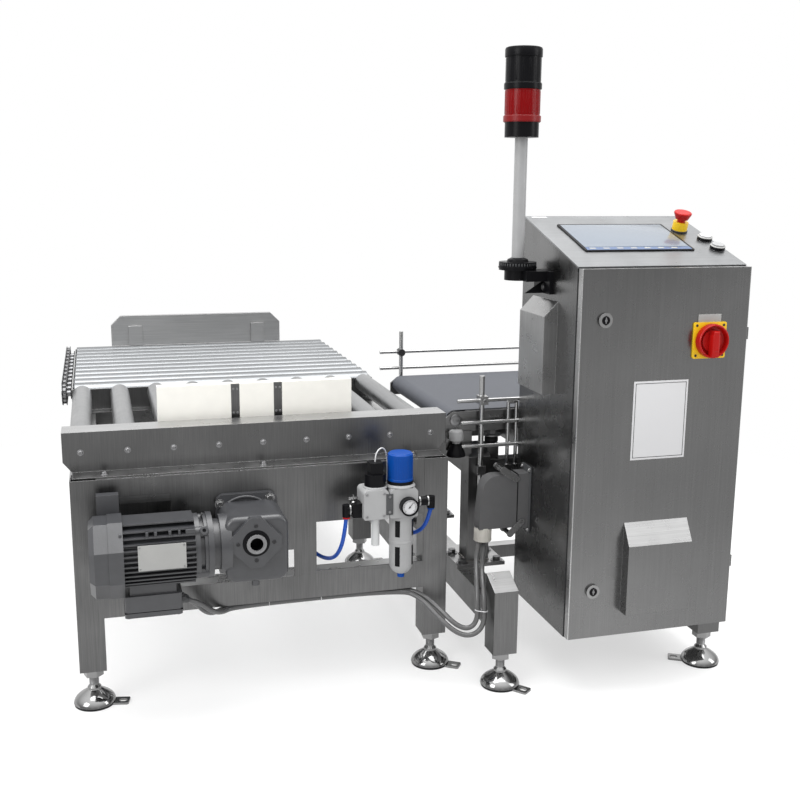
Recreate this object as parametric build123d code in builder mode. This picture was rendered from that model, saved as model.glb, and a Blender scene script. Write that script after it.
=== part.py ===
from build123d import *
import math
import os

# Checkweigher: roller table with pusher, weigh conveyor and control cabinet.
# Millimetres. The origin is the middle of the underside of the table's front
# left foot, +X runs along the front, +Y away from the operator, +Z up.

os.makedirs("parts", exist_ok=True)

# Square tube shared by the table and the stand
tube = 50
tube_wall = 3
half_tube = tube / 2
leg_bottom = 75
sheet = 3
air = 0.3                      # gap between faces that move past each other
running = 0.05                 # radial gap of a shaft in its bore

# Table frame
leg_span = 685                 # between the left and right leg axes
leg_rows = (0, 623, 1150)      # leg axes from the front to the back
low_rail = 182                 # underside of the low rails
table_middle = leg_span / 2
table_left = -half_tube
table_right = leg_span + half_tube

# Main rollers, which lie front to back
main_count = 9
main_pitch = 86.5
main_radius = 22
main_height = 496
shelf_height = main_height - 41  # top of the frame tubes
axle_radius = 6
rail_length = leg_span + 73
rail_top = main_height + 39
rail_flange = 59
web_front = 29                 # front face of the front rail's web
web_rear = 606                 # front face of the rear rail's web
end_gap = 2.5                  # roller end to web
main_front = web_front + sheet + end_gap
main_back = web_rear - end_gap
groove_radius = 20             # belt groove at the front end of each main roller
belt_width = 7
belt_step = 9
belt_thick = 2

# Back roller bank, which lies left to right
bank_count = 11
bank_pitch = 58
bank_radius = 25
bank_height = main_height - 3
bank_first = 643
bank_last = bank_first + (bank_count - 1) * bank_pitch
stub_radius = 7.5
plate_top = bank_height + 15
plate_bottom = bank_height - 68
plate_reach = 32               # plate beyond the last roller axis
sprocket_teeth = 11
chain_pitch = 12.7
sprocket_radius = chain_pitch / 2 / math.sin(math.pi / sprocket_teeth)
sprocket_thick = 7
chain_band = 12

# Drive
shaft_x = 299
shaft_height = 352
shaft_radius = 12.5
pulley_radius = 18
motor_y = -104
motor_height = 340
motor_radius = 65

# Pusher
block_height = 78
block_thick = 20
block_base = main_height + 27
block_front = 105
pusher_width = 394
strip_width = 17
pusher_travel = 430
guide_radius = 8
guide_height = main_height - 84
guide_spread = 56
cylinder_radius = 18
cylinder_height = main_height - 124

# Weigh conveyor
belt_top = main_height + 29
belt_front = 95
belt_back = 515
side_plate = 5
conveyor_left = table_right + 29
conveyor_right = conveyor_left + 581
end_roller_radius = 19
belt_skin = 1.7
side_top = belt_top - 3
side_bottom = belt_top - 47

# Stand
stand_left = table_right + 82
stand_right = conveyor_right - 74
stand_front = -133
right_front = -144             # the right foot stands a little further out
stand_back = 480
stand_rail_bottom = 119
stand_rail_height = 58
upright_rows = (112, 455)
upright_top = belt_top - 81
cross_height = upright_top - 50
cap_rise = 24

# Cabinet
cabinet_left = table_right + 186.5
cabinet_right = cabinet_left + 355
cabinet_front = -202
cabinet_back = 60
cabinet_bottom = 120
cabinet_front_top = 850
cabinet_back_top = 934
cabinet_wall = 2.5
door_thick = 19.5
door_gap = 0.5
lip = 14
slope = math.degrees(math.atan2(cabinet_back_top - cabinet_front_top, cabinet_back - cabinet_front))
console = Plane(
    origin=(0, cabinet_front, cabinet_front_top),
    x_dir=(1, 0, 0),
    z_dir=(0, -math.sin(math.radians(slope)), math.cos(math.radians(slope))),
)


def bar(low, high, mode=Mode.ADD):
    """Add a block between two corners to the open part."""
    size = [b - a for a, b in zip(low, high)]
    with Locations(tuple((a + b) / 2 for a, b in zip(low, high))):
        Box(*size, mode=mode)


def rod(start, end, radius, mode=Mode.ADD):
    """Add a round bar between two points to the open part."""
    run = Vector(*end) - Vector(*start)
    with BuildSketch(Plane(origin=start, z_dir=run)) as section:
        Circle(radius)
    extrude(section.sketch, amount=run.length, mode=mode)


def pipe(start, end, radius, bore):
    """Add a round tube between two points to the open part."""
    run = Vector(*end) - Vector(*start)
    with BuildSketch(Plane(origin=start, z_dir=run)) as section:
        Circle(radius)
        Circle(bore, mode=Mode.SUBTRACT)
    extrude(section.sketch, amount=run.length)


def square_tube(start, end, width=tube, height=tube, wall=tube_wall):
    """Add a square tube between two points on its axis, width across and height up."""
    run = Vector(*end) - Vector(*start)
    side = (0, 1, 0) if abs(run.X) > 1 else (1, 0, 0)
    with BuildSketch(Plane(origin=start, x_dir=side, z_dir=run)) as section:
        Rectangle(width, height)
        Rectangle(width - 2 * wall, height - 2 * wall, mode=Mode.SUBTRACT)
    extrude(section.sketch, amount=run.length)


def save(piece, name):
    """Label a finished piece and write it."""
    piece.part.label = name
    export_step(piece.part, f"parts/{name}.step")


# Table frame: legs with closed feet, cross rails and side rails
with BuildPart() as table_frame:
    for leg_y in leg_rows:
        for leg_x in (0, leg_span):
            square_tube((leg_x, leg_y, leg_bottom), (leg_x, leg_y, shelf_height))
            bar((leg_x - half_tube + tube_wall, leg_y - half_tube + tube_wall, leg_bottom),
                (leg_x + half_tube - tube_wall, leg_y + half_tube - tube_wall, leg_bottom + 8))
        for rail_z in (low_rail + half_tube, shelf_height - half_tube):
            if leg_y == leg_rows[0] and rail_z > shelf_height / 2:
                square_tube((half_tube, leg_y + sheet / 2, rail_z),
                            (leg_span - half_tube, leg_y + sheet / 2, rail_z), tube - sheet)
            else:
                square_tube((half_tube, leg_y, rail_z), (leg_span - half_tube, leg_y, rail_z))
    for front_y, back_y in zip(leg_rows[:-1], leg_rows[1:]):
        for leg_x in (0, leg_span):
            for rail_z in (low_rail + half_tube, shelf_height - half_tube):
                square_tube((leg_x, front_y + half_tube, rail_z), (leg_x, back_y - half_tube, rail_z))
save(table_frame, "table_frame")

# Front panel between the front legs, flush with them, with the drive and air cut-outs
motor_cut = (half_tube, 157, low_rail + tube, shelf_height - 35)
gear_cut = (157, 392, low_rail + tube, 287)
window_cut = (table_right - 273, table_right - 52, low_rail + tube + 6, 340)
with BuildPart() as front_panel:
    with BuildSketch(Plane.XZ.offset(half_tube)):
        with Locations((table_middle, (low_rail + tube + shelf_height) / 2)):
            Rectangle(leg_span - tube, shelf_height - low_rail - tube)
        for left, right, low, high in (motor_cut, gear_cut, window_cut):
            with Locations(((left + right) / 2, (low + high) / 2)):
                Rectangle(right - left, high - low, mode=Mode.SUBTRACT)
        with Locations((shaft_x, shaft_height)):
            Circle(40, mode=Mode.SUBTRACT)
    extrude(amount=-sheet)
save(front_panel, "front_panel")

# Roller rails: folded front and rear rail with the fixed axles of the main rollers
# between them, and the side plates and cross bar of the bank
rail_left = table_middle - rail_length / 2
rail_right = table_middle + rail_length / 2
main_axes = [table_middle + (i - (main_count - 1) / 2) * main_pitch for i in range(main_count)]
foot_flange = web_front + half_tube - 4
with BuildPart() as roller_rails:
    with BuildSketch(Plane.YZ.offset(rail_left)):
        with BuildLine():
            Polyline(
                (web_front - foot_flange + 4, shelf_height),
                (web_front + sheet, shelf_height),
                (web_front + sheet, rail_top - sheet),
                (web_front + rail_flange - sheet, rail_top - sheet),
                (web_front + rail_flange - sheet, rail_top - 14),
                (web_front + rail_flange, rail_top - 14),
                (web_front + rail_flange, rail_top),
                (web_front, rail_top),
                (web_front, shelf_height + sheet),
                (web_front - foot_flange + 4, shelf_height + sheet),
                close=True,
            )
        make_face()
    extrude(amount=rail_length)
    for corner_x, inward in ((rail_left, 1), (rail_right, -1)):
        with BuildSketch(Plane.XZ.offset(half_tube)):
            with BuildLine():
                Polyline(
                    (corner_x - inward, shelf_height - 1),
                    (corner_x + inward * 17, shelf_height - 1),
                    (corner_x + inward * 17, shelf_height + 2),
                    (corner_x, shelf_height + 23),
                    (corner_x - inward, shelf_height + 23),
                    close=True,
                )
            make_face()
        extrude(amount=-2 * tube, mode=Mode.SUBTRACT)
    with BuildSketch(Plane.YZ.offset(table_left)):
        with BuildLine():
            Polyline(
                (web_rear + sheet, shelf_height),
                (web_rear + sheet, plate_top),
                (web_rear, plate_top),
                (web_rear, shelf_height + sheet),
                (web_rear - 36, shelf_height + sheet),
                (web_rear - 36, shelf_height),
                close=True,
            )
        make_face()
    extrude(amount=table_right - table_left)
    for plate_x in (table_left - sheet, table_right):
        with BuildSketch(Plane.YZ.offset(plate_x)):
            with BuildLine():
                Polyline(
                    (web_rear, plate_bottom),
                    (bank_last + plate_reach - 25, plate_bottom),
                    (bank_last + plate_reach, plate_bottom + 30),
                    (bank_last + plate_reach, plate_top),
                    (web_rear, plate_top),
                    close=True,
                )
            make_face()
            for i in range(bank_count):
                with Locations((bank_first + i * bank_pitch, bank_height)):
                    Circle(stub_radius + running, mode=Mode.SUBTRACT)
        extrude(amount=sheet)
    cross_bar = bank_last + plate_reach
    bar((table_left, cross_bar - 5, plate_bottom + 30), (table_right, cross_bar, plate_top))
    for axis_x in main_axes:
        rod((axis_x, web_front, main_height), (axis_x, web_rear + sheet, main_height), axle_radius)
save(roller_rails, "roller_rails")

# Main rollers: steel tube with end plugs bored for the axle and three belt grooves
groove_length = 3 * belt_step + 4
for number, axis_x in enumerate(main_axes, 1):
    with BuildPart() as main_roller:
        with BuildSketch(Plane.XZ.offset(-main_front)):
            with Locations((axis_x, main_height)):
                Circle(groove_radius)
        extrude(amount=-groove_length)
        with BuildSketch(Plane.XZ.offset(-main_front - groove_length)):
            with Locations((axis_x, main_height)):
                Circle(main_radius)
        extrude(amount=-(main_back - main_front - groove_length))
        chamfer(main_roller.edges().group_by(Axis.Y)[-1], 1.5)
        rod((axis_x, main_front + groove_length + 6, main_height), (axis_x, main_back - 14, main_height),
            main_radius - 2, Mode.SUBTRACT)
        rod((axis_x, main_front - 1, main_height), (axis_x, main_back + 1, main_height),
            axle_radius + running, Mode.SUBTRACT)
    save(main_roller, f"main_roller_{number}")

# Bank rollers: tube with live stub shafts and a sprocket outside the left plate
bank_left = table_left + end_gap
bank_right = table_right - end_gap
sprocket_out = table_left - sheet - 13.5 - sprocket_thick
for number in range(1, bank_count + 1):
    axis_y = bank_first + (number - 1) * bank_pitch
    with BuildPart() as bank_roller:
        pipe((bank_left + 12, axis_y, bank_height), (bank_right - 12, axis_y, bank_height),
             bank_radius, bank_radius - 2)
        rod((bank_left, axis_y, bank_height), (bank_left + 12, axis_y, bank_height), bank_radius)
        rod((bank_right - 12, axis_y, bank_height), (bank_right, axis_y, bank_height), bank_radius)
        chamfer(bank_roller.edges().filter_by(GeomType.CIRCLE).group_by(Axis.X)[0], 1.5)
        chamfer(bank_roller.edges().filter_by(GeomType.CIRCLE).group_by(Axis.X)[-1], 1.5)
        rod((sprocket_out - 4, axis_y, bank_height), (bank_left, axis_y, bank_height), stub_radius)
        rod((bank_right, axis_y, bank_height), (table_right + sheet + 4, axis_y, bank_height), stub_radius)
        with BuildSketch(Plane.YZ.offset(sprocket_out)):
            with Locations((axis_y, bank_height)):
                Circle(sprocket_radius + 2.5)
                with PolarLocations(sprocket_radius, sprocket_teeth):
                    Circle(4.2, mode=Mode.SUBTRACT)
        extrude(amount=sprocket_thick)
    save(bank_roller, f"bank_roller_{number}")


def loop_band(middle_a, radius_a, middle_b, radius_b, thick, plane, width):
    """Add a closed belt round two pulleys of the given seat radii to the open part."""
    gap = math.dist(middle_a, middle_b)
    turn = math.degrees(math.atan2(middle_b[1] - middle_a[1], middle_b[0] - middle_a[0]))
    lean = math.degrees(math.acos((radius_a - radius_b) / gap))
    with BuildSketch(plane) as section:
        for grow, how in ((thick, Mode.ADD), (0, Mode.SUBTRACT)):
            with BuildLine(mode=Mode.PRIVATE) as outline:
                rim_a = CenterArc(middle_a, radius_a + grow, turn + lean, 360 - 2 * lean)
                rim_b = CenterArc(middle_b, radius_b + grow, turn - lean, 2 * lean)
                Line(rim_a @ 1, rim_b @ 0)
                Line(rim_b @ 1, rim_a @ 0)
            add(make_face(outline.edges(), mode=Mode.PRIVATE), mode=how)
    extrude(section.sketch, amount=width)


# Belts between the main rollers, the drive belt below them, and the bank's chain
drive_roller = main_count // 2 - 2
with BuildPart() as chains_and_belts:
    for i, (left_x, right_x) in enumerate(zip(main_axes[:-1], main_axes[1:])):
        start_y = main_front + 2 + (i % 2) * belt_step
        loop_band((left_x, main_height), groove_radius + air, (right_x, main_height),
                  groove_radius + air, belt_thick, Plane.XZ.offset(-start_y), -belt_width)
    start_y = main_front + 2 + 2 * belt_step
    loop_band((shaft_x, shaft_height), pulley_radius + air, (main_axes[drive_roller], main_height),
              groove_radius + air, belt_thick, Plane.XZ.offset(-start_y), -belt_width)
    for band_x in (sprocket_out - 1.8, sprocket_out + sprocket_thick + air):
        loop_band((bank_first, bank_height), sprocket_radius - chain_band / 2, (bank_last, bank_height),
                  sprocket_radius - chain_band / 2, chain_band, Plane.YZ.offset(band_x), 1.5)
save(chains_and_belts, "chains_and_belts")

# Output shaft: hollow shaft end in the gear case, shaft and grooved pulley behind the panel
case_front = -145
case_back = -37
case_left = 244
case_right = 361
case_low = 273
case_high = 399
cover_across = 82
cover_corner = 15
hub_radius = 18.5
pulley_front = main_front + 2 + 2 * belt_step
with BuildPart() as output_shaft:
    rod((shaft_x, case_front - 17, shaft_height), (shaft_x, case_back + 7, shaft_height), hub_radius)
    rod((shaft_x, case_back + 7, shaft_height), (shaft_x, pulley_front + belt_width + 6, shaft_height),
        shaft_radius)
    rod((shaft_x, pulley_front - 6, shaft_height), (shaft_x, pulley_front + belt_width + 6, shaft_height),
        pulley_radius + 5)
    with BuildSketch(Plane.XZ.offset(-pulley_front + 0.5)):
        with Locations((shaft_x, shaft_height)):
            Circle(pulley_radius + 6)
            Circle(pulley_radius, mode=Mode.SUBTRACT)
    extrude(amount=-belt_width - 1, mode=Mode.SUBTRACT)
    rod((shaft_x, case_front - 18, shaft_height), (shaft_x, case_front + 14, shaft_height), 12, Mode.SUBTRACT)
save(output_shaft, "output_shaft")

# Right-angle gear case with a square output cover on its corner and a mounting flange
flange_width = 118
flange_low = 287
flange_high = 413
adapter_end = 213
with BuildPart() as gear_case:
    bar((case_left, case_front, case_low), (case_right, case_back, case_high))
    fillet(gear_case.edges().filter_by(Axis.Y), 22)
    fillet(gear_case.faces().sort_by(Axis.Y)[0].edges(), 9)
    rod((adapter_end, motor_y, motor_height), (case_left + 12, motor_y, motor_height), 47)
    rod((adapter_end, motor_y, motor_height), (adapter_end + 10, motor_y, motor_height), 61)
    rod((case_left - 8, motor_y, motor_height), (case_left + 12, motor_y, motor_height), 55)
    with BuildSketch(Plane.XZ.offset(-case_front - 4)):
        with Locations(Location((shaft_x, shaft_height), 45)):
            cover = Rectangle(cover_across, cover_across)
        chamfer(cover.vertices(), cover_corner)
    extrude(amount=14)
    with BuildSketch(Plane.XZ.offset(-case_back)):
        with Locations((shaft_x, (flange_low + flange_high) / 2)):
            RectangleRounded(flange_width, flange_high - flange_low, 16)
    extrude(amount=-12)
    rod((shaft_x, case_front + 10, case_low - 8), (shaft_x, case_front + 10, case_low + 4), 7)
    rod((shaft_x, case_front - 11, shaft_height), (shaft_x, -half_tube + 1, shaft_height), hub_radius + running,
        Mode.SUBTRACT)
save(gear_case, "gear_case")

# Motor: finned body, end shield, bevelled fan cowl with air slots and a terminal box
cowl_left = 5
cowl_right = 64
cowl_radius = 69
cowl_height = motor_height - 7
fin_left = 56
fin_right = 190
fin_pitch = 9.6
fin_thick = 2.8
core_radius = 54
box_left = 62
box_right = 165
box_low = 222
box_high = 263
with BuildPart() as motor_body:
    with BuildSketch(Plane.YZ.offset(fin_left)):
        with Locations((motor_y, motor_height)):
            Circle(core_radius)
        for step in range(-6, 7):
            half_width = math.sqrt(motor_radius ** 2 - (step * fin_pitch) ** 2)
            with Locations((motor_y, motor_height + step * fin_pitch)):
                Rectangle(2 * half_width, fin_thick)
    extrude(amount=fin_right - fin_left)
    rod((fin_right, motor_y, motor_height), (fin_right + 9, motor_y, motor_height), 60)
    rod((fin_right, motor_y, motor_height), (adapter_end, motor_y, motor_height), 50)
    rod((adapter_end - 6, motor_y, motor_height), (adapter_end, motor_y, motor_height), 58)
    with BuildSketch(Plane.YZ.offset(fin_right)):
        with Locations((motor_y, motor_height)):
            with PolarLocations(54, 4, start_angle=45):
                Circle(10)
    extrude(amount=adapter_end - fin_right)
    for ring_left, grow in ((cowl_left, 0), (cowl_right - 26, 2)):
        with BuildSketch(Plane.YZ.offset(ring_left)):
            with Locations((motor_y, cowl_height)):
                RegularPolygon(cowl_radius + grow, 8, major_radius=False, rotation=22.5)
        extrude(amount=cowl_right - ring_left)
    chamfer(motor_body.faces().sort_by(Axis.X)[0].edges(), 9)
    with BuildSketch(Plane.YZ.offset(cowl_left)):
        with Locations((motor_y, cowl_height)):
            for ring_radius, ring_count in ((24, 8), (38, 14), (51, 20)):
                with PolarLocations(ring_radius, ring_count):
                    SlotOverall(9, 4.5, rotation=90)
    extrude(amount=6, mode=Mode.SUBTRACT)
    with BuildSketch(Plane.XY.offset(box_low)):
        with Locations(((box_left + box_right) / 2, motor_y)):
            RectangleRounded(box_right - box_left, 64, 7)
    extrude(amount=box_high - box_low)
    bar((box_left + 10, motor_y - 26, box_high - 1), (box_right - 10, motor_y + 26, box_high + 28))
    bar((21, motor_y + 38, motor_height + 15), (61, motor_y + 58, motor_height + 96))
save(motor_body, "motor_body")

# Pusher: notched bar let in with two steel strips on a carriage below the rollers
block_left = table_middle - pusher_width / 2
strip_rows = [(main_axes[i] + main_axes[i + 1]) / 2 for i in (3, 4)]
strip_thick = 5
with BuildPart() as pusher_blocks:
    bar((block_left, block_front, block_base),
        (block_left + pusher_width, block_front + block_thick, block_base + block_height))
    for strip_x in strip_rows:
        bar((strip_x - strip_width / 2, block_front - 1, block_base - 1),
            (strip_x + strip_width / 2, block_front + strip_thick, block_base + block_height + 1), Mode.SUBTRACT)
save(pusher_blocks, "pusher_blocks")

carriage_top = guide_height + 28
carriage_half = 82
with BuildPart() as pusher_carriage:
    bar((table_middle - carriage_half, block_front - 10, cylinder_height - 26),
        (table_middle + carriage_half, block_front + 40, carriage_top))
    for strip_x in strip_rows:
        bar((strip_x - strip_width / 2, block_front, carriage_top),
            (strip_x + strip_width / 2, block_front + strip_thick, block_base + block_height - 1))
    for guide_x in (table_middle - guide_spread, table_middle + guide_spread):
        rod((guide_x, 0, guide_height), (guide_x, 300, guide_height), guide_radius + running, Mode.SUBTRACT)
    rod((table_middle, 0, cylinder_height), (table_middle, 300, cylinder_height),
        cylinder_radius + running, Mode.SUBTRACT)
save(pusher_carriage, "pusher_carriage")

# Rodless cylinder with its two guide rods and end blocks between the frame tubes
with BuildPart() as pusher_cylinder:
    inner_front = half_tube
    inner_back = leg_rows[1] - half_tube
    for low_y, high_y in ((inner_front, inner_front + 18), (inner_back - 18, inner_back)):
        bar((table_middle - carriage_half + 7, low_y, cylinder_height - 20),
            (table_middle + carriage_half - 7, high_y, carriage_top))
    bar((shaft_x - 17, inner_front - 1, cylinder_height - 21), (shaft_x + 17, inner_front + 19, shaft_height + 17),
        Mode.SUBTRACT)
    for guide_x in (table_middle - guide_spread, table_middle + guide_spread):
        rod((guide_x, inner_front + 18, guide_height), (guide_x, inner_back - 18, guide_height), guide_radius)
    rod((table_middle, inner_front + 18, cylinder_height), (table_middle, inner_back - 18, cylinder_height),
        cylinder_radius)
save(pusher_cylinder, "pusher_cylinder")

# End stop behind the bank
stop_left = table_left + 103
stop_right = table_right - 125
stop_low = main_height + 17
stop_high = main_height + 106
stop_corner = 28
stop_face = bank_last + plate_reach + 8
with BuildPart() as end_stop:
    with BuildSketch(Plane.XZ.offset(-stop_face)):
        with BuildLine():
            Polyline(
                (stop_left, stop_low),
                (stop_right, stop_low),
                (stop_right, stop_high - stop_corner),
                (stop_right - stop_corner, stop_high),
                (stop_left + stop_corner, stop_high),
                (stop_left, stop_high - stop_corner),
                close=True,
            )
        make_face()
    extrude(amount=-18)
    for leg_x in (stop_left + 70, stop_right - 70):
        bar((leg_x - 20, stop_face - 8, plate_bottom + 35), (leg_x + 20, stop_face, stop_high - 30))
save(end_stop, "end_stop")

# Air preparation unit on the panel: body, gauge, bowl guard, valve and fittings
air_x = table_right - 147      # between the two modules
air_y = -85
bowl_x = air_x + 31.5
bowl_radius = 23.5
knob_x = air_x + 28.5
knob_radius = 24.5
valve_x = air_x - 22
left_elbow = air_x - 79
right_elbow = air_x + 92
unit_low = 364
unit_high = 422
collar_top = unit_high + 11
knob_top = 488
with BuildPart() as regulator_body:
    for module_left, module_right in ((air_x - 51, air_x - 1), (air_x + 1, air_x + 57)):
        bar((module_left, air_y - 28, unit_low), (module_right, air_y + 28, unit_high))
    fillet(regulator_body.edges().filter_by(Axis.Y).group_by(Axis.Z)[-1], 9)
    fillet(regulator_body.edges().filter_by(Axis.Y).group_by(Axis.Z)[0], 4)
    bar((air_x - 8, air_y - 22, unit_low + 6), (air_x + 8, air_y + 22, unit_high - 14))
    bar((air_x - 23, air_y + 28, 372), (air_x + 37, -half_tube, 408))
    rod((air_x + 37, air_y - 40, 388), (air_x + 37, air_y - 27, 388), 18)
    rod((air_x + 37, air_y - 41, 388), (air_x + 37, air_y - 39.5, 388), 15, Mode.SUBTRACT)
    rod((bowl_x, air_y, 262), (bowl_x, air_y, unit_low), bowl_radius)
    with Locations((bowl_x, air_y, 264)):
        Sphere(bowl_radius)
    rod((bowl_x, air_y, 234), (bowl_x, air_y, 246), 7)
    rod((valve_x + 1, air_y, 304), (valve_x + 1, air_y, unit_low), 8)
    rod((knob_x, air_y, unit_high - 1), (knob_x, air_y, collar_top), knob_radius + 1.5)
    rod((knob_x, air_y, unit_high), (knob_x, air_y, collar_top + 16), 9)
    rod((valve_x, air_y, unit_high - 1), (valve_x, air_y, 449), 21)
    bar((valve_x - 12.5, air_y - 14, 448), (valve_x + 12.5, air_y + 14, 472))
    bar((left_elbow + 10, air_y - 14, 366), (air_x - 50, air_y + 14, 394))
    rod((left_elbow, air_y, 380), (left_elbow + 12, air_y, 380), 10)
    rod((left_elbow, air_y, 366), (left_elbow, air_y, 390), 8)
    rod((air_x + 56, air_y, 386), (right_elbow, air_y, 386), 9)
    rod((right_elbow, air_y, 372), (right_elbow, air_y, 395), 8)
save(regulator_body, "regulator_body")

with BuildPart() as regulator_knob:
    rod((knob_x, air_y, collar_top + air), (knob_x, air_y, knob_top), knob_radius)
    chamfer(regulator_knob.edges().group_by(Axis.Z)[-1], 3)
    rod((knob_x, air_y, collar_top), (knob_x, air_y, collar_top + 17), 9 + running, Mode.SUBTRACT)
save(regulator_knob, "regulator_knob")


def cord(name, points, radius):
    """Write a round cord along straight runs joined by tangent arcs."""
    runs = [Vector(*b) - Vector(*a) for a, b in zip(points[:-1], points[1:])]
    bends = []
    for before, after in zip(runs[:-1], runs[1:]):
        turn = math.radians(before.get_angle(after))
        bends.append(0.45 * min(before.length, after.length) / math.tan(turn / 2))
    with BuildPart() as lead:
        with BuildLine() as route:
            FilletPolyline(*points, radius=bends)
        with BuildSketch(Plane(origin=route.line @ 0, z_dir=route.line % 0)):
            Circle(radius)
        sweep()
    ideal = math.pi * radius ** 2 * sum(edge.length for edge in route.edges())
    print(name, "bends", [round(bend) for bend in bends], "volume", round(lead.part.volume / ideal, 3))
    save(lead, name)


# Air tubes: from the fittings through the window to the cylinder's front end block
tube_radius = 4
block_low = cylinder_height - 20
cord("air_tube_left", [
    (left_elbow, -85, 366), (left_elbow - 3.5, -81, 322), (left_elbow - 10, -58, 282),
    (left_elbow - 16, -14, 256), (left_elbow - 32, 24, 250), (left_elbow - 54, 44, 270),
    (left_elbow - 72, 42, 305), (left_elbow - 88, 34, block_low),
], tube_radius)
cord("air_tube_right", [
    (right_elbow, -85, 372), (right_elbow - 4, -82, 346), (right_elbow - 15, -66, 318),
    (right_elbow - 33, -40, 304), (right_elbow - 47, 0, 308), (right_elbow - 55, 36, 334),
    (right_elbow - 85, 50, 362), (right_elbow - 145, 50, 378), (right_elbow - 205, 42, 384),
    (table_middle + carriage_half - 7, 34, 384),
], tube_radius)

# Motor cables: along the underside of the low rail, then in a loose loop up to the plug
cable_radius = 5
under_rail = low_rail - cable_radius - 0.6
cord("motor_cable_front", [
    (box_right, -96, 236), (box_right + 33, -86, 222), (box_right + 57, -66, 193), (box_right + 79, -38, 175),
    (box_right + 109, -15, under_rail),
] + [(table_right + x, y, z) for x, y, z in (
    (-95, -15, under_rail), (-62, -44, 168), (-36, -82, 140), (-15, -108, 119), (8, -120, 108),
    (28, -126, 111), (42.5, -128, 124.5), (48.5, -128, 148), (49.5, -118, 190), (56, -84, 222),
    (74, -40, 236), (87, -10, 246), (91, 2, 262))], cable_radius)
cord("motor_cable_back", [
    (box_right, -80, 236), (box_right + 27, -72, 217), (box_right + 45, -56, 189), (box_right + 65, -30, 172),
    (box_right + 91, -9, 173.5), (box_right + 125, -3.5, under_rail),
] + [(table_right + x, y, z) for x, y, z in (
    (-89, -3.5, under_rail), (-54, -38, 171), (-28, -78, 150), (-10, -104, 131), (9, -114, 121),
    (23, -117.5, 123), (32, -119, 133), (36.5, -119, 150), (38, -110, 188), (46, -78, 226),
    (62, -36, 246), (76, -8, 253), (80, 2, 262))], cable_radius)

# Stand: low side rails, front block leg, uprights on bolted base plates and cross tubes
stand_rail_top = stand_rail_bottom + stand_rail_height
right_rail_top = cabinet_bottom
upright_left = stand_left + 28
upright_right = stand_right - 24
cell_left = conveyor_left + 246
cell_right = cell_left + 110
beam_left = cell_left + 15
beam_right = cell_right - 15
beam_half = 16
plate_thick = 8


def capped_post(middle_x, middle_y, bottom, top):
    """Add a closed square post whose cap slopes up to the back."""
    with BuildSketch(Plane.YZ.offset(middle_x - half_tube)) as section:
        with BuildLine():
            Polyline(
                (middle_y - half_tube, bottom),
                (middle_y + half_tube, bottom),
                (middle_y + half_tube, top + cap_rise),
                (middle_y - half_tube, top),
                close=True,
            )
        make_face()
    extrude(section.sketch, amount=tube)


with BuildPart() as stand_frame:
    capped_post(stand_left, stand_front, leg_bottom, 208)
    square_tube((stand_left, stand_front + half_tube, stand_rail_bottom + stand_rail_height / 2),
                (stand_left, stand_back + half_tube, stand_rail_bottom + stand_rail_height / 2),
                tube, stand_rail_height)
    bar((stand_left - half_tube, stand_back - half_tube, leg_bottom),
        (stand_left + half_tube, stand_back + half_tube, stand_rail_bottom))
    square_tube((stand_right, right_front - half_tube, (leg_bottom + right_rail_top) / 2),
                (stand_right, stand_back + half_tube, (leg_bottom + right_rail_top) / 2),
                tube, right_rail_top - leg_bottom)
    for foot_y in (right_front, stand_back):
        bar((stand_right - half_tube, foot_y - half_tube, leg_bottom),
            (stand_right + half_tube, foot_y + half_tube, leg_bottom + 8))
    bar((stand_right - half_tube, right_front - half_tube, leg_bottom),
        (stand_right + half_tube, right_front - half_tube + 4, right_rail_top))
    for upright_y in upright_rows:
        bar((upright_left - 53, upright_y - 45, stand_rail_top),
            (upright_left + 57, upright_y + 45, stand_rail_top + plate_thick))
        capped_post(upright_left, upright_y, stand_rail_top + plate_thick, upright_top - cap_rise)
        bar((upright_right - 55, upright_y - 45, right_rail_top),
            (upright_right + 55, upright_y + 45, right_rail_top + plate_thick))
        capped_post(upright_right, upright_y, right_rail_top + plate_thick, upright_top - cap_rise)
        square_tube((upright_left + half_tube, upright_y, cross_height),
                    (upright_right - half_tube, upright_y, cross_height), 2 * beam_half, 2 * beam_half)
    square_tube((upright_left, upright_rows[0] + half_tube, cross_height),
                (upright_left, upright_rows[1] - half_tube, cross_height), 40, 40)
    square_tube((stand_left + half_tube, 240, 148), (stand_right - half_tube, 240, 148), 30, 30)
    bar((stand_right - half_tube, 220, right_rail_top), (stand_right + half_tube, 260, 166))
    bar((beam_left, upright_rows[0] + beam_half, cross_height - beam_half),
        (beam_right, upright_rows[1] - beam_half, cross_height + beam_half))
    for arm_x in (cabinet_left + 63.5, cabinet_right - 61.5):
        bar((arm_x - 20, cabinet_back, cross_height - 14),
            (arm_x + 20, upright_rows[0] - beam_half, cross_height + 14))
save(stand_frame, "stand_frame")

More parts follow.
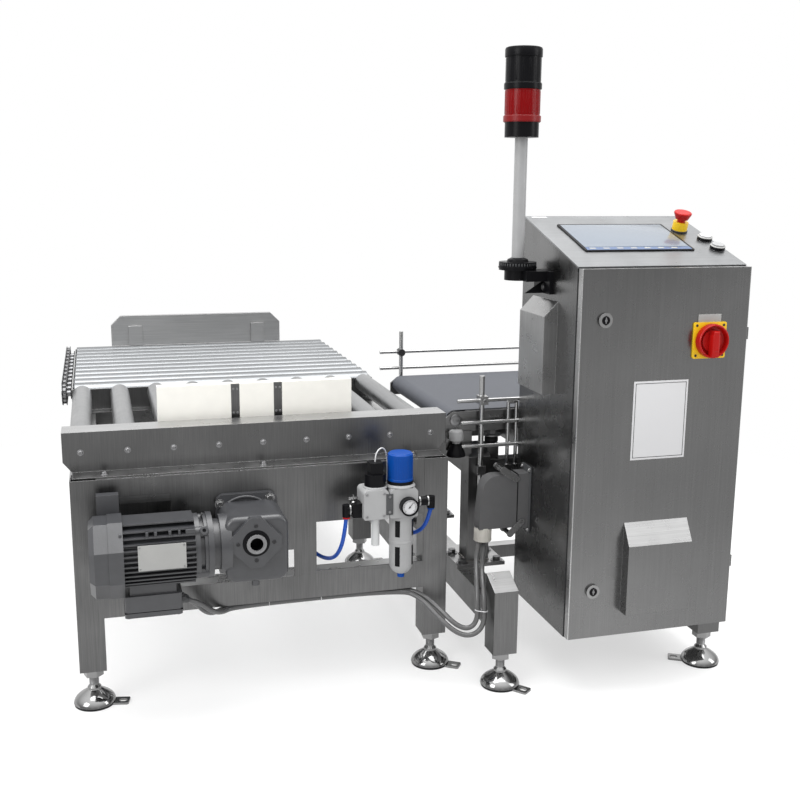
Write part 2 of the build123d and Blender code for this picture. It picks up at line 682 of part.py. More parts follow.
# Levelling feet: polished bell on a rubber ring, stem, nut and floor lug
bell_radius = 40
bell_height = 27
ring_height = 4
stem_radius = 8.5
nut_low = 59
nut_across = 33
lug_reach = 66
lug_width = 26
lug_thick = 4
lug_hole = 50
feet = [(0, leg_rows[0], -12), (leg_span, leg_rows[0], -35)]
feet += [(x, y, 0) for y in leg_rows[1:] for x in (0, leg_span)]
feet += [(stand_left, stand_front, -50), (stand_left, stand_back, 0)]
feet += [(stand_right, right_front, 150), (stand_right, stand_back, 150)]
with BuildPart() as foot:
    with BuildSketch(Plane.XZ):
        with BuildLine():
            Polyline((0, 0), (bell_radius - 3, 0), (bell_radius - 3, ring_height), (bell_radius, ring_height + 1))
            Spline((bell_radius, ring_height + 1), (bell_radius * 0.9, ring_height + 10),
                   (bell_radius * 0.6, ring_height + 20), (13, bell_height + 4))
            Polyline((13, bell_height + 4), (13, bell_height + 8), (stem_radius, bell_height + 13),
                     (stem_radius, leg_bottom), (0, leg_bottom), (0, 0))
        make_face()
    revolve(axis=Axis.Z)
    with BuildSketch(Plane.XY.offset(nut_low)):
        RegularPolygon(nut_across / 2, 6, major_radius=False)
    extrude(amount=leg_bottom - nut_low)
    with BuildSketch(Plane.XY):
        with Locations(((bell_radius - 8 + lug_reach) / 2, 0)):
            RectangleRounded(lug_reach - bell_radius + 8, lug_width, 4)
        with Locations((lug_hole + 4, 0)):
            SlotOverall(16, 11, mode=Mode.SUBTRACT)
    extrude(amount=lug_thick)

with BuildPart() as levelling_feet:
    for foot_x, foot_y, lug_turn in feet:
        with Locations(Location((foot_x, foot_y, 0), (0, 0, lug_turn))):
            add(foot.part)
save(levelling_feet, "levelling_feet")

# Weigh conveyor frame: side plates, slider bed, cross bars and bearing holes
end_drop = end_roller_radius + belt_skin
pulley_height = belt_top - end_drop
tail_x = conveyor_left + 4 + end_drop
drive_x = conveyor_right - 4 - end_drop
pulley_stub = 6
bed_top = belt_top - belt_skin - air
plate_front = belt_front - 2 - side_plate
plate_back = belt_back + 2
cell_top = side_bottom - 16
with BuildPart() as conveyor_frame:
    for plate_y in (plate_front, plate_back):
        with BuildSketch(Plane.XZ.offset(-plate_y)):
            with BuildLine():
                Polyline(
                    (conveyor_left, side_bottom),
                    (conveyor_right, side_bottom),
                    (conveyor_right, side_top - 14),
                    (conveyor_right - 18, side_top),
                    (conveyor_left + 18, side_top),
                    (conveyor_left, side_top - 14),
                    close=True,
                )
            make_face()
            with Locations((tail_x, pulley_height), (drive_x, pulley_height)):
                Circle(pulley_stub + running, mode=Mode.SUBTRACT)
        extrude(amount=-side_plate)
    bed_left = tail_x + end_roller_radius + 4
    bed_right = drive_x - end_roller_radius - 4
    bar((bed_left, plate_front + side_plate, bed_top - 3), (bed_right, plate_back, bed_top))
    for rib_x in (bed_left + 60, (bed_left + bed_right) / 2, bed_right - 60):
        bar((rib_x - 15, plate_front + side_plate, side_bottom + 10), (rib_x + 15, plate_back, bed_top))
    for bracket_y in (plate_front, plate_back + side_plate - 4):
        bar((cell_left, bracket_y, cell_top), (cell_right, bracket_y + 4, side_bottom + 12))
    bar((cell_left, plate_front, cell_top), (cell_right, plate_back + side_plate, cell_top + 4))
save(conveyor_frame, "conveyor_frame")

with BuildPart() as conveyor_belt:
    loop_band((tail_x, pulley_height), end_roller_radius + air, (drive_x, pulley_height),
              end_roller_radius + air, belt_skin - air, Plane.XZ.offset(-belt_front), belt_front - belt_back)
save(conveyor_belt, "conveyor_belt")

for pulley_name, pulley_x in (("tail_pulley", tail_x), ("drive_pulley", drive_x)):
    with BuildPart() as pulley:
        rod((pulley_x, belt_front, pulley_height), (pulley_x, belt_back, pulley_height), end_roller_radius)
        rod((pulley_x, plate_front - 3, pulley_height), (pulley_x, plate_back + side_plate + 3, pulley_height),
            pulley_stub)
    save(pulley, pulley_name)

# Load cell housing between the stand's middle beam and the conveyor frame
with BuildPart() as load_cell:
    bar((beam_left, 190, cross_height + beam_half), (beam_right, 420, cell_top))
    fillet(load_cell.edges().filter_by(Axis.Z), 8)
save(load_cell, "load_cell")

# Side guides: round rods on clamped posts in front of and behind the belt
guide_rod = 4
front_guide_y = 68
front_guide_heights = (belt_top - 75, belt_top - 24, belt_top + 24)
rear_guide_y = 552
rear_guide_heights = (belt_top + 14, belt_top + 55)
guide_right = conveyor_right - 20
main_post = upright_left - 2
hoop_left = conveyor_left + 139
hoop_right = hoop_left + 19
hoop_top = front_guide_heights[2] - 2 * guide_rod
hidden_post = conveyor_left + 341
right_post = conveyor_right - 65
with BuildPart() as side_guides:
    for guide_z, inset in zip(front_guide_heights, (32, 30, 21)):
        rod((conveyor_left + inset, front_guide_y, guide_z), (guide_right, front_guide_y, guide_z), guide_rod)
    for post_x, post_low, post_high, post_radius in (
            (main_post, 350, belt_top + 75, 6), (hoop_left, cross_height - 10, hoop_top, 4),
            (hoop_right, cross_height - 10, hoop_top, 4), (hidden_post, cross_height - 10, belt_top + 35, 4),
            (right_post, cross_height - 10, belt_top + 75, 6)):
        post_y = front_guide_y + guide_rod + post_radius - 0.5
        rod((post_x, post_y, post_low), (post_x, post_y, post_high), post_radius)
        tail_y = upright_rows[0] - (half_tube if post_x == main_post else beam_half)
        if post_x != right_post:
            bar((post_x - 9, post_y - post_radius - 2, cross_height - 10),
                (post_x + 9, tail_y, cross_height + 10))
    hoop_y = front_guide_y + 2 * guide_rod - 0.5
    rod((hoop_left, hoop_y, hoop_top), (hoop_right, hoop_y, hoop_top), guide_rod)
    for hoop_x in (hoop_left, hoop_right):
        with Locations((hoop_x, hoop_y, hoop_top)):
            Sphere(guide_rod)
    for post_x in (main_post, right_post):
        bar((post_x - 9, front_guide_y - 7, front_guide_heights[2] - 9),
            (post_x + 9, front_guide_y + 18, front_guide_heights[2] + 9))
    for guide_z in rear_guide_heights:
        rod((conveyor_left - 19, rear_guide_y, guide_z), (guide_right, rear_guide_y, guide_z), guide_rod)
    for post_x in (conveyor_left + 34, conveyor_right - 50):
        rod((post_x, rear_guide_y - 8.5, side_bottom + 2), (post_x, rear_guide_y - 8.5, belt_top + 108), 5)
        rod((post_x, rear_guide_y - 17, rear_guide_heights[1]), (post_x, rear_guide_y + 5, rear_guide_heights[1]), 9)
        bar((post_x - 12, plate_back + side_plate, side_bottom + 2),
            (post_x + 12, rear_guide_y - 4, side_bottom + 16))
save(side_guides, "side_guides")

# Cabinet body: folded box with a sloping top, a lipped door opening and a side hood
panel_thick = 3
hood_out = 28
with BuildPart() as cabinet_body:
    wall_drop = panel_thick / math.cos(math.radians(slope))
    for inset, how in ((0, Mode.ADD), (cabinet_wall, Mode.SUBTRACT)):
        with BuildSketch(Plane.YZ.offset(cabinet_left + inset)):
            with BuildLine():
                Polyline(
                    (cabinet_front + inset, cabinet_bottom + inset),
                    (cabinet_back - inset, cabinet_bottom + inset),
                    (cabinet_back - inset, cabinet_back_top - wall_drop - inset),
                    (cabinet_front + inset, cabinet_front_top - wall_drop - inset),
                    close=True,
                )
            make_face()
        extrude(amount=cabinet_right - cabinet_left - 2 * inset, mode=how)
    bar((cabinet_left + lip, cabinet_front - 1, cabinet_bottom + lip),
        (cabinet_right - lip, cabinet_front + 4, cabinet_front_top - 12), Mode.SUBTRACT)
    with BuildSketch(console.offset(-panel_thick - 5)):
        with Locations(((cabinet_left + cabinet_right) / 2, 138)):
            Rectangle(cabinet_right - cabinet_left - 6, 240)
    extrude(amount=12, mode=Mode.SUBTRACT)
    with BuildSketch(Plane.XZ.offset(-3)):
        with BuildLine():
            Polyline(
                (cabinet_left, 595),
                (cabinet_left, 777),
                (cabinet_left - hood_out, 748),
                (cabinet_left - hood_out, 595),
                close=True,
            )
        make_face()
    extrude(amount=122)
    with BuildSketch(Plane.XZ.offset(-3 + 2)):
        with BuildLine():
            Polyline(
                (cabinet_left, 594),
                (cabinet_left, 773),
                (cabinet_left - hood_out + 2, 746),
                (cabinet_left - hood_out + 2, 594),
                close=True,
            )
        make_face()
    extrude(amount=118, mode=Mode.SUBTRACT)
    for knuckle_z in (240, 706):
        bar((cabinet_right, cabinet_front - 1, knuckle_z + 24), (cabinet_right + 5, cabinet_front + 16, knuckle_z + 46))
        rod((cabinet_right + 5, cabinet_front - 1, knuckle_z + 24),
            (cabinet_right + 5, cabinet_front - 1, knuckle_z + 46), 5)
        rod((cabinet_right + 5, cabinet_front - 1, knuckle_z + 1),
            (cabinet_right + 5, cabinet_front - 1, knuckle_z + 26), 2.5)
save(cabinet_body, "cabinet_body")

# Console panel with the screen cut-out and the collars of the stop head and the buttons
screen_left = cabinet_left + 47.5
screen_right = cabinet_right - 71.5
screen_low = 74
screen_high = 220
stop_x = cabinet_right - 47.9
stop_y = 183.8
stop_collar = 20
button_x = cabinet_right - 16.5
button_rows = {"start_button": 134, "stop_button": 83}
button_collar = 6
button_radius = 12
collar_radius = 15
console_depth = (cabinet_back - cabinet_front) / math.cos(math.radians(slope))
with BuildPart() as console_panel:
    with BuildSketch(console.offset(-panel_thick)):
        with Locations(((cabinet_left + cabinet_right) / 2, console_depth / 2)):
            Rectangle(cabinet_right - cabinet_left, console_depth)
    extrude(amount=panel_thick)
    with BuildSketch(console):
        with Locations((stop_x, stop_y)):
            Circle(15.5)
    extrude(amount=stop_collar)
    with BuildSketch(console.offset(-14)):
        with Locations((stop_x, stop_y)):
            Circle(15)
        for row in button_rows.values():
            with Locations((button_x, row)):
                Circle(button_radius + 1.2)
    extrude(amount=14)
    with BuildSketch(console):
        for row in button_rows.values():
            with Locations((button_x, row)):
                Circle(collar_radius)
    extrude(amount=button_collar)
    with BuildSketch(console.offset(-20)):
        with Locations(((screen_left + screen_right) / 2, (screen_low + screen_high) / 2)):
            Rectangle(screen_right - screen_left - 12, screen_high - screen_low - 12)
        with Locations((stop_x, stop_y)):
            Circle(8 + running)
        for row in button_rows.values():
            with Locations((button_x, row)):
                Circle(button_radius + running)
    extrude(amount=40, mode=Mode.SUBTRACT)
save(console_panel, "console_panel")

with BuildPart() as touch_screen:
    with BuildSketch(console):
        with Locations(((screen_left + screen_right) / 2, (screen_low + screen_high) / 2)):
            RectangleRounded(screen_right - screen_left, screen_high - screen_low, 3)
    extrude(amount=2.5)
    with BuildSketch(console):
        with Locations(((screen_left + screen_right) / 2, (screen_low + screen_high) / 2)):
            Rectangle(screen_right - screen_left - 14, screen_high - screen_low - 14)
    extrude(amount=-34)
save(touch_screen, "touch_screen")

# Emergency stop head and the two push buttons
stop_travel = 6
button_travel = 4
with BuildPart() as emergency_stop:
    with BuildSketch(console.offset(stop_collar + stop_travel + 0.5)):
        with Locations((stop_x, stop_y)):
            Circle(13)
    extrude(amount=15, taper=-24)
    fillet(emergency_stop.edges().filter_by(GeomType.CIRCLE).group_by(Axis.Z)[-1], 3)
    with BuildSketch(console.offset(-12)):
        with Locations((stop_x, stop_y)):
            Circle(8)
    extrude(amount=12 + stop_collar + stop_travel + 1)
save(emergency_stop, "emergency_stop")

for button_name, row in button_rows.items():
    with BuildPart() as button:
        with BuildSketch(console.offset(-10)):
            with Locations((button_x, row)):
                Circle(button_radius)
        extrude(amount=10 + button_collar + button_travel + 0.5)
    save(button, button_name)

# Door: shallow tray with a vent hood, lock and switch holes and hinge knuckles
door_front = cabinet_front - door_gap - door_thick
door_low = 122
door_high = 847
door_skin = 2
lock_x = cabinet_left + 48.5
lock_rows = {"door_lock_upper": 752, "door_lock_lower": 219}
lock_shaft = 8
switch_x = cabinet_right - 85
switch_z = 708
switch_shaft = 6
vent = (cabinet_left + 110.5, cabinet_right - 107.5, 171, 354)
vent_out = 25
with BuildPart() as cabinet_door:
    bar((cabinet_left, door_front, door_low), (cabinet_right, door_front + door_thick, door_high))
    fillet(cabinet_door.edges().filter_by(Axis.Z).group_by(Axis.Y)[0], 3)
    bar((cabinet_left + door_skin, door_front + door_skin, door_low + door_skin),
        (cabinet_right - door_skin, door_front + door_thick + 1, door_high - door_skin), Mode.SUBTRACT)
    for shrink, how in ((0, Mode.ADD), (2, Mode.SUBTRACT)):
        with BuildSketch(Plane.YZ.offset(vent[0] + shrink)):
            with BuildLine():
                Polyline(
                    (door_front, vent[2] - shrink),
                    (door_front - vent_out + shrink, vent[2] - shrink),
                    (door_front - vent_out + shrink, vent[3] - 42),
                    (door_front, vent[3] - shrink),
                    close=True,
                )
            make_face()
        extrude(amount=vent[1] - vent[0] - 2 * shrink, mode=how)
    for row in lock_rows.values():
        rod((lock_x, door_front - 5, row), (lock_x, door_front + 6, row), lock_shaft + running, Mode.SUBTRACT)
    rod((switch_x, door_front - 5, switch_z), (switch_x, door_front + 6, switch_z), switch_shaft + 2, Mode.SUBTRACT)
    hinge_x = cabinet_right + 5
    hinge_y = cabinet_front - 1
    for knuckle_z in (240, 706):
        bar((cabinet_right - 1, hinge_y - 14, knuckle_z), (hinge_x, hinge_y - 2, knuckle_z + 23.7))
        rod((hinge_x, hinge_y, knuckle_z), (hinge_x, hinge_y, knuckle_z + 23.7), 5)
        rod((hinge_x, hinge_y, knuckle_z - 1), (hinge_x, hinge_y, knuckle_z + 25), 2.5 + running, Mode.SUBTRACT)
save(cabinet_door, "cabinet_door")

for lock_name, row in lock_rows.items():
    with BuildPart() as lock:
        rod((lock_x, door_front - 5, row), (lock_x, door_front - air, row), 14)
        rod((lock_x, door_front - 1, row), (lock_x, cabinet_front + 9, row), lock_shaft)
        bar((lock_x - 7, cabinet_front + 5.5, row - 38), (lock_x + 7, cabinet_front + 8.5, row + 7))
        bar((lock_x - 1.5, door_front - 6, row - 9), (lock_x + 1.5, door_front - 3.5, row + 9), Mode.SUBTRACT)
    save(lock, lock_name)

# Mains switch: square plate on the door and its turning handle
switch_plate = 70
plate_out = 4
with BuildPart() as mains_switch_plate:
    with BuildSketch(Plane.XZ.offset(-door_front)):
        with Locations((switch_x, switch_z)):
            RectangleRounded(switch_plate, switch_plate, 4)
            Circle(switch_shaft + running, mode=Mode.SUBTRACT)
    extrude(amount=plate_out)
save(mains_switch_plate, "mains_switch_plate")

with BuildPart() as mains_switch_knob:
    knob_back = door_front - plate_out - air
    rod((switch_x, knob_back, switch_z), (switch_x, knob_back - 9, switch_z), 21)
    bar((switch_x - 6.5, knob_back - 25, switch_z - 20), (switch_x + 6.5, knob_back - 8, switch_z + 20))
    fillet(mains_switch_knob.faces().sort_by(Axis.Y)[0].edges(), 3)
    rod((switch_x, knob_back - 1, switch_z), (switch_x, door_front + 12, switch_z), switch_shaft)
save(mains_switch_knob, "mains_switch_knob")

# Signal tower: bracket arm, base disc, pole and stacked modules
tower_x = cabinet_left - 50.5
tower_y = -31
pole_radius = 12.5
module_radius = 35
module_low = 1087
with BuildPart() as signal_tower:
    with BuildSketch(Plane.XY.offset(812)):
        with Locations((tower_x, tower_y)):
            Circle(26)
        with Locations(((tower_x + cabinet_left) / 2, tower_y - 18)):
            Rectangle(cabinet_left - tower_x, 60)
    extrude(amount=20)
    bar((cabinet_left - 8, tower_y - 62, 788), (cabinet_left, tower_y + 14, 832))
    rod((tower_x, tower_y, 832), (tower_x, tower_y, 848), 37)
    rod((tower_x, tower_y, 848), (tower_x, tower_y, module_low), pole_radius)
    for low, high, radius in ((1087, 1115, 33), (1115, 1128, 35), (1128, 1176, 34), (1176, 1189, 35),
                              (1189, 1236, 34), (1236, 1254, 35)):
        rod((tower_x, tower_y, low), (tower_x, tower_y, high), radius)
    chamfer(signal_tower.edges().filter_by(GeomType.CIRCLE).group_by(Axis.Z)[-1], 3)
save(signal_tower, "signal_tower")

# Multi-pole connector on the cabinet's side with a downward cable entry and two levers
plug_left = cabinet_left - 111.5
plug_base = cabinet_left - 28.5
plug_low = 290
plug_high = 404
gland_x = plug_left + 14
gland_low = 262
plug_middle = 2.5
plug_half = 18
pivot_high = (cabinet_left - 32.5, 396)
pivot_low = (cabinet_left - 18.5, 302)
with BuildPart() as connector_housing:
    bar((plug_base, plug_middle - plug_half, plug_low - 4), (cabinet_left, plug_middle + plug_half, plug_high + 2))
    with BuildSketch(Plane.XZ.offset(plug_half - 1 - plug_middle)):
        with BuildLine():
            Polyline(
                (plug_left, plug_low),
                (plug_base, plug_low),
                (plug_base, plug_high),
                (plug_left + 9, plug_high),
                (plug_left, plug_low + 22),
                close=True,
            )
        make_face()
    extrude(amount=-2 * plug_half + 2)
    hood_edges = connector_housing.edges().filter_by(Axis.Y)
    fillet(sorted(hood_edges, key=lambda edge: edge.center().X - edge.center().Z)[0], 30)
    rod((gland_x, plug_middle, gland_low), (gland_x, plug_middle, plug_low + 2), 18)
    for pivot_x, pivot_z in (pivot_high, pivot_low):
        rod((pivot_x, plug_middle - plug_half - 3.5, pivot_z), (pivot_x, plug_middle + plug_half + 3.5, pivot_z), 3)
save(connector_housing, "connector_housing")

for lever_name, pivot, tip in (("connector_lever_upper", pivot_high, (pivot_high[0] - 30, 417)),
                               ("connector_lever_lower", pivot_low, (pivot_low[0] - 25, 277))):
    with BuildPart() as lever:
        reach = math.dist(pivot, tip)
        turn = math.degrees(math.atan2(tip[1] - pivot[1], tip[0] - pivot[0]))
        for arm_y in (plug_middle - plug_half - 2.8, plug_middle + plug_half + 0.3):
            with BuildSketch(Plane.XZ.offset(-arm_y)):
                with Locations(Location(((pivot[0] + tip[0]) / 2, (pivot[1] + tip[1]) / 2), turn)):
                    SlotOverall(reach + 14, 14)
                with Locations(pivot):
                    Circle(3 + running, mode=Mode.SUBTRACT)
            extrude(amount=-2.5)
        rod((tip[0], plug_middle - plug_half - 2.8, tip[1]), (tip[0], plug_middle + plug_half + 2.8, tip[1]), 5)
    save(lever, lever_name)
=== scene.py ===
# %% [markdown]
# # A checkweigher, dressed for the camera
# The CAD solids give every true outline of this machine: a roller table with a pusher, a weigh
# conveyor and a control cabinet. This lesson keeps them where they are and adds finishes, fasteners
# and small fittings. All lengths are metres in the part's own frame: +X runs along the front,
# +Y goes away from the operator and the floor is at zero.

# %% Load the frame
import math

import bmesh
import bpy
import numpy as np
from mathutils import Matrix, Vector


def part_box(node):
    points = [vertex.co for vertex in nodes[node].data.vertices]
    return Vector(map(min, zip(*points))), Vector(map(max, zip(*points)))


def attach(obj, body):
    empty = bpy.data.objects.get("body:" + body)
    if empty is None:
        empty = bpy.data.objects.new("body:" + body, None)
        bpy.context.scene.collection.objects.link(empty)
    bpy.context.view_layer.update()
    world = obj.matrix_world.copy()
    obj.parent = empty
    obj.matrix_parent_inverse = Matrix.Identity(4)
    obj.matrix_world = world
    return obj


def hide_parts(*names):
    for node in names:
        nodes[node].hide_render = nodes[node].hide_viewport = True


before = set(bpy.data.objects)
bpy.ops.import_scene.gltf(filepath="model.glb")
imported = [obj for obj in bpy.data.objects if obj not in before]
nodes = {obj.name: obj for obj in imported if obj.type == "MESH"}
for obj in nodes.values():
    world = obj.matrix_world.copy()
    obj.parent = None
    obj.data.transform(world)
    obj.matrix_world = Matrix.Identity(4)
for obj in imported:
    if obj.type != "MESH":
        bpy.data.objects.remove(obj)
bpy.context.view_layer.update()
MM = 0.001

# %% [markdown]
# ## Finishes
# Brushed stainless steel is a mirror with thousands of fine scratches in one direction. Noise that
# is stretched along that direction gives the scratches; it turns the surface a little (bump), makes
# it more or less rough and shades it slightly. A second, broad noise gives the cloudy look that a
# large sheet has. The Bevel node rounds the light on folded edges, as bending a sheet does.


# %% A small node helper
def node(tree, kind, links=None, **settings):
    """Add a node, set its properties and connect or set its inputs by name or index."""
    made = tree.nodes.new(kind)
    for key, value in settings.items():
        setattr(made, key, value)
    for key, value in (links or {}).items():
        socket = made.inputs[key]
        if isinstance(value, bpy.types.NodeSocket):
            tree.links.new(value, socket)
        else:
            socket.default_value = value
    return made


def blank_material(name):
    """A material with an empty node tree and its output node."""
    made = bpy.data.materials.new(name)
    made.use_nodes = True
    made.node_tree.nodes.clear()
    return made, made.node_tree, node(made.node_tree, "ShaderNodeOutputMaterial")


def grey(level, blue=0.0):
    """A neutral colour, slightly cool where blue is above zero."""
    return (level * (1 - blue), level, level * (1 + blue), 1)


def new_object(name, data):
    """An object for a mesh, curve, lamp or camera, linked to the scene."""
    made = bpy.data.objects.new(name, data)
    bpy.context.scene.collection.objects.link(made)
    return made


def spread_noise(tree, noise, low, high):
    """Noise gathers round its middle, so that part of it is stretched to run from low to high."""
    return node(tree, "ShaderNodeMapRange", {
        "Value": noise.outputs[0], "From Min": 0.3, "From Max": 0.7,
        "To Min": low, "To Max": high}).outputs[0]


# %% Brushed and turned metal
def brushed_metal(name, level, grain, rough=0.3, blue=0.0, cloud=0.18, scratch=0.12, edge=0.0012,
    bump=0.12):
    """Metal with scratches along the axis where grain is small and fine lines across it."""
    made, tree, out = blank_material(name)
    place = node(tree, "ShaderNodeTexCoord").outputs["Object"]
    fine = node(tree, "ShaderNodeMapping", {"Vector": place, "Scale": grain}).outputs[0]
    lines = node(tree, "ShaderNodeTexNoise",
        {"Vector": fine, "Scale": 1.0, "Detail": 3.0, "Roughness": 0.6})
    broad = node(tree, "ShaderNodeTexNoise", {"Vector": place, "Scale": 3.2, "Detail": 2.0})
    blotch = node(tree, "ShaderNodeTexNoise", {"Vector": place, "Scale": 26.0, "Detail": 3.0})
    tone = spread_noise(tree, lines, 1 - scratch, 1 + scratch)
    haze = spread_noise(tree, broad, 1 - cloud, 1 + cloud)
    both = node(tree, "ShaderNodeMath", {0: tone, 1: haze}, operation="MULTIPLY").outputs[0]
    shade = node(tree, "ShaderNodeVectorMath", {0: grey(level, blue)[:3], "Scale": both},
        operation="SCALE")
    gloss = spread_noise(tree, blotch, rough * 0.82, rough * 1.2)
    round_edge = node(tree, "ShaderNodeBevel", {"Radius": edge}, samples=4).outputs[0]
    bump = node(tree, "ShaderNodeBump", {
        "Strength": bump, "Distance": 0.0004, "Height": lines.outputs[0], "Normal": round_edge}).outputs[0]
    shader = node(tree, "ShaderNodeBsdfPrincipled", {
        "Base Color": shade.outputs[0], "Metallic": 1.0, "Roughness": gloss, "Normal": bump})
    tree.links.new(shader.outputs[0], out.inputs[0])
    return made


steel_upright = brushed_metal("steel_brushed_upright", 0.155, (1100, 1100, 12), rough=0.33,
    scratch=0.16)
steel_along = brushed_metal("steel_brushed_along", 0.2, (12, 1100, 1100), rough=0.3, scratch=0.14)
steel_cabinet = brushed_metal("steel_cabinet_satin", 0.2, (700, 700, 5), rough=0.26, scratch=0.07,
    cloud=0.1, bump=0.0)
steel_pale = brushed_metal("steel_console_pale", 0.34, (8, 700, 700), rough=0.33, blue=0.02,
    cloud=0.08, bump=0.03)
# A lighter copy of the brushed steel: a painted highlight for faces that face up and for folded edges.
steel_painted_highlight = brushed_metal("steel_with_painted_highlight", 0.52, (8, 700, 700), rough=0.3, cloud=0.12, bump=0.03)
# A lighter copy of the cabinet steel: a painted highlight on the side hood.
steel_hood_painted_highlight = brushed_metal("steel_side_hood_with_painted_highlight", 0.42, (600, 600, 6), rough=0.3, cloud=0.2, bump=0.0)
steel_stop = brushed_metal("steel_stop_plate", 0.42, (8, 600, 600), rough=0.38, cloud=0.14, bump=0.03)
steel_rod = brushed_metal("steel_bright_rod", 0.5, (10, 500, 500), rough=0.2, cloud=0.1, bump=0.02)
zinc_turned = brushed_metal("zinc_turned", 0.36, (500, 12, 500), rough=0.34, blue=0.01, cloud=0.08,
    scratch=0.06, bump=0.02)
zinc_turned_across = brushed_metal("zinc_turned_across", 0.24, (12, 500, 500), rough=0.3, blue=0.03,
    cloud=0.06, scratch=0.06, bump=0.02)
print("metals", len(bpy.data.materials))


# %% Plain finishes: paint, plastic, rubber, polished steel
def solid_finish(name, colour, rough, metallic=0.0, bump=0.0, grain=900.0, mottle=0.0, coat=0.0,
    edge=0.0008, shine=0.5):
    """One colour with a fine grain in the surface and an optional soft mottle."""
    made, tree, out = blank_material(name)
    place = node(tree, "ShaderNodeTexCoord").outputs["Object"]
    round_edge = node(tree, "ShaderNodeBevel", {"Radius": edge}, samples=4).outputs[0]
    shader = node(tree, "ShaderNodeBsdfPrincipled", {
        "Base Color": (*colour, 1), "Roughness": rough, "Metallic": metallic, "Normal": round_edge,
        "Specular IOR Level": shine})
    if coat:
        shader.inputs["Coat Weight"].default_value = coat
        shader.inputs["Coat Roughness"].default_value = 0.12
    if mottle:
        soft = node(tree, "ShaderNodeTexNoise", {"Vector": place, "Scale": 40.0, "Detail": 4.0})
        factor = spread_noise(tree, soft, 1 - mottle, 1 + mottle)
        tint = node(tree, "ShaderNodeVectorMath", {0: colour, "Scale": factor}, operation="SCALE")
        tree.links.new(tint.outputs[0], shader.inputs["Base Color"])
    if bump:
        pores = node(tree, "ShaderNodeTexNoise", {"Vector": place, "Scale": grain, "Detail": 3.0})
        rise = node(tree, "ShaderNodeBump", {
            "Strength": bump, "Distance": 0.0005, "Height": pores.outputs[0], "Normal": round_edge}).outputs[0]
        tree.links.new(rise, shader.inputs["Normal"])
    tree.links.new(shader.outputs[0], out.inputs[0])
    return made


polished = solid_finish("steel_polished", (0.3, 0.3, 0.3), 0.12, metallic=1.0, mottle=0.06)
bolt_steel = solid_finish("bolt_steel", (0.27, 0.27, 0.275), 0.3, metallic=1.0, mottle=0.12)
grey_paint = solid_finish("grey_cast_paint", (0.042, 0.043, 0.047), 0.32, bump=0.2, grain=420.0,
    mottle=0.1, shine=0.75)
ivory = solid_finish("ivory_machined_plastic", (0.88, 0.865, 0.81), 0.5, bump=0.06, grain=200.0,
    mottle=0.02)
pale_grey = solid_finish("pale_grey_moulding", (0.35, 0.352, 0.355), 0.38, bump=0.08, mottle=0.03)
black = solid_finish("black_moulding", (0.005, 0.005, 0.006), 0.3, bump=0.06, mottle=0.1, shine=0.12)
rubber = solid_finish("black_rubber", (0.012, 0.012, 0.013), 0.6, bump=0.1, shine=0.25)
belt_face = solid_finish("belt_blue_grey", (0.062, 0.067, 0.08), 0.55, bump=0.2, grain=1600.0,
    mottle=0.05)
blue = solid_finish("blue_moulding", (0.0, 0.055, 0.3), 0.33, mottle=0.04, shine=0.22)
tube_blue = solid_finish("blue_air_tube", (0.004, 0.07, 0.42), 0.3, shine=0.4)
red = solid_finish("red_moulding", (0.42, 0.006, 0.005), 0.33, mottle=0.04, shine=0.25)
yellow = solid_finish("yellow_moulding", (0.85, 0.55, 0.01), 0.4, mottle=0.03)
white = solid_finish("white_plate", (0.62, 0.62, 0.63), 0.35)
cable_grey = solid_finish("grey_cable_jacket", (0.1, 0.1, 0.101), 0.24, bump=0.03, coat=0.3)
enamel = solid_finish("grey_enamel", (0.1, 0.1, 0.102), 0.42, bump=0.1, mottle=0.05, shine=0.4)
print("finishes", len(bpy.data.materials))


# %% [markdown]
# ## Painting the CAD nodes
# A CAD node keeps its mesh. It only gets materials: one for all, or several where a rule on the
# middle of each face picks another one, such as a yellow collar on a steel panel.


# %% Paint by node and by place
def paint(names, base, *rules):
    """Give nodes a base material, and other materials where a rule on the face middle holds."""
    for name in names:
        mesh = nodes[name].data
        mesh.materials.clear()
        mesh.materials.append(base)
        count = len(mesh.polygons)
        index = np.zeros(count, np.int32)
        middle = np.empty(count * 3)
        mesh.polygons.foreach_get("center", middle)
        normal = np.empty(count * 3)
        mesh.polygons.foreach_get("normal", normal)
        for number, (finish, rule) in enumerate(rules, 1):
            mesh.materials.append(finish)
            index[rule(middle.reshape(-1, 3), normal.reshape(-1, 3))] = number
        mesh.polygons.foreach_set("material_index", index)


# Horizontal faces that get the painted highlight.
def horizontal_highlight_faces(middle, normal):
    return abs(normal[:, 2]) > 0.8


# Horizontal faces of the frames get the lighter steel, a painted highlight.
paint(["table_frame", "stand_frame"], steel_upright,
      (steel_along, lambda m, n: (abs(n[:, 1]) > 0.8) & (m[:, 2] > 0.4)),
      (steel_painted_highlight, horizontal_highlight_faces))
paint(["front_panel"], steel_upright)
# The rail tops get the lighter steel, a painted highlight.
paint(["roller_rails"], steel_upright, (steel_painted_highlight, horizontal_highlight_faces))
paint(["end_stop"], steel_stop)
paint(["conveyor_frame", "load_cell"], steel_along)
# The cabinet's side hood gets the lighter steel, a painted highlight.
paint(["cabinet_body"], steel_cabinet, (steel_hood_painted_highlight, lambda m, n: (m[:, 0] < 0.896) & (m[:, 2] > 0.58)))
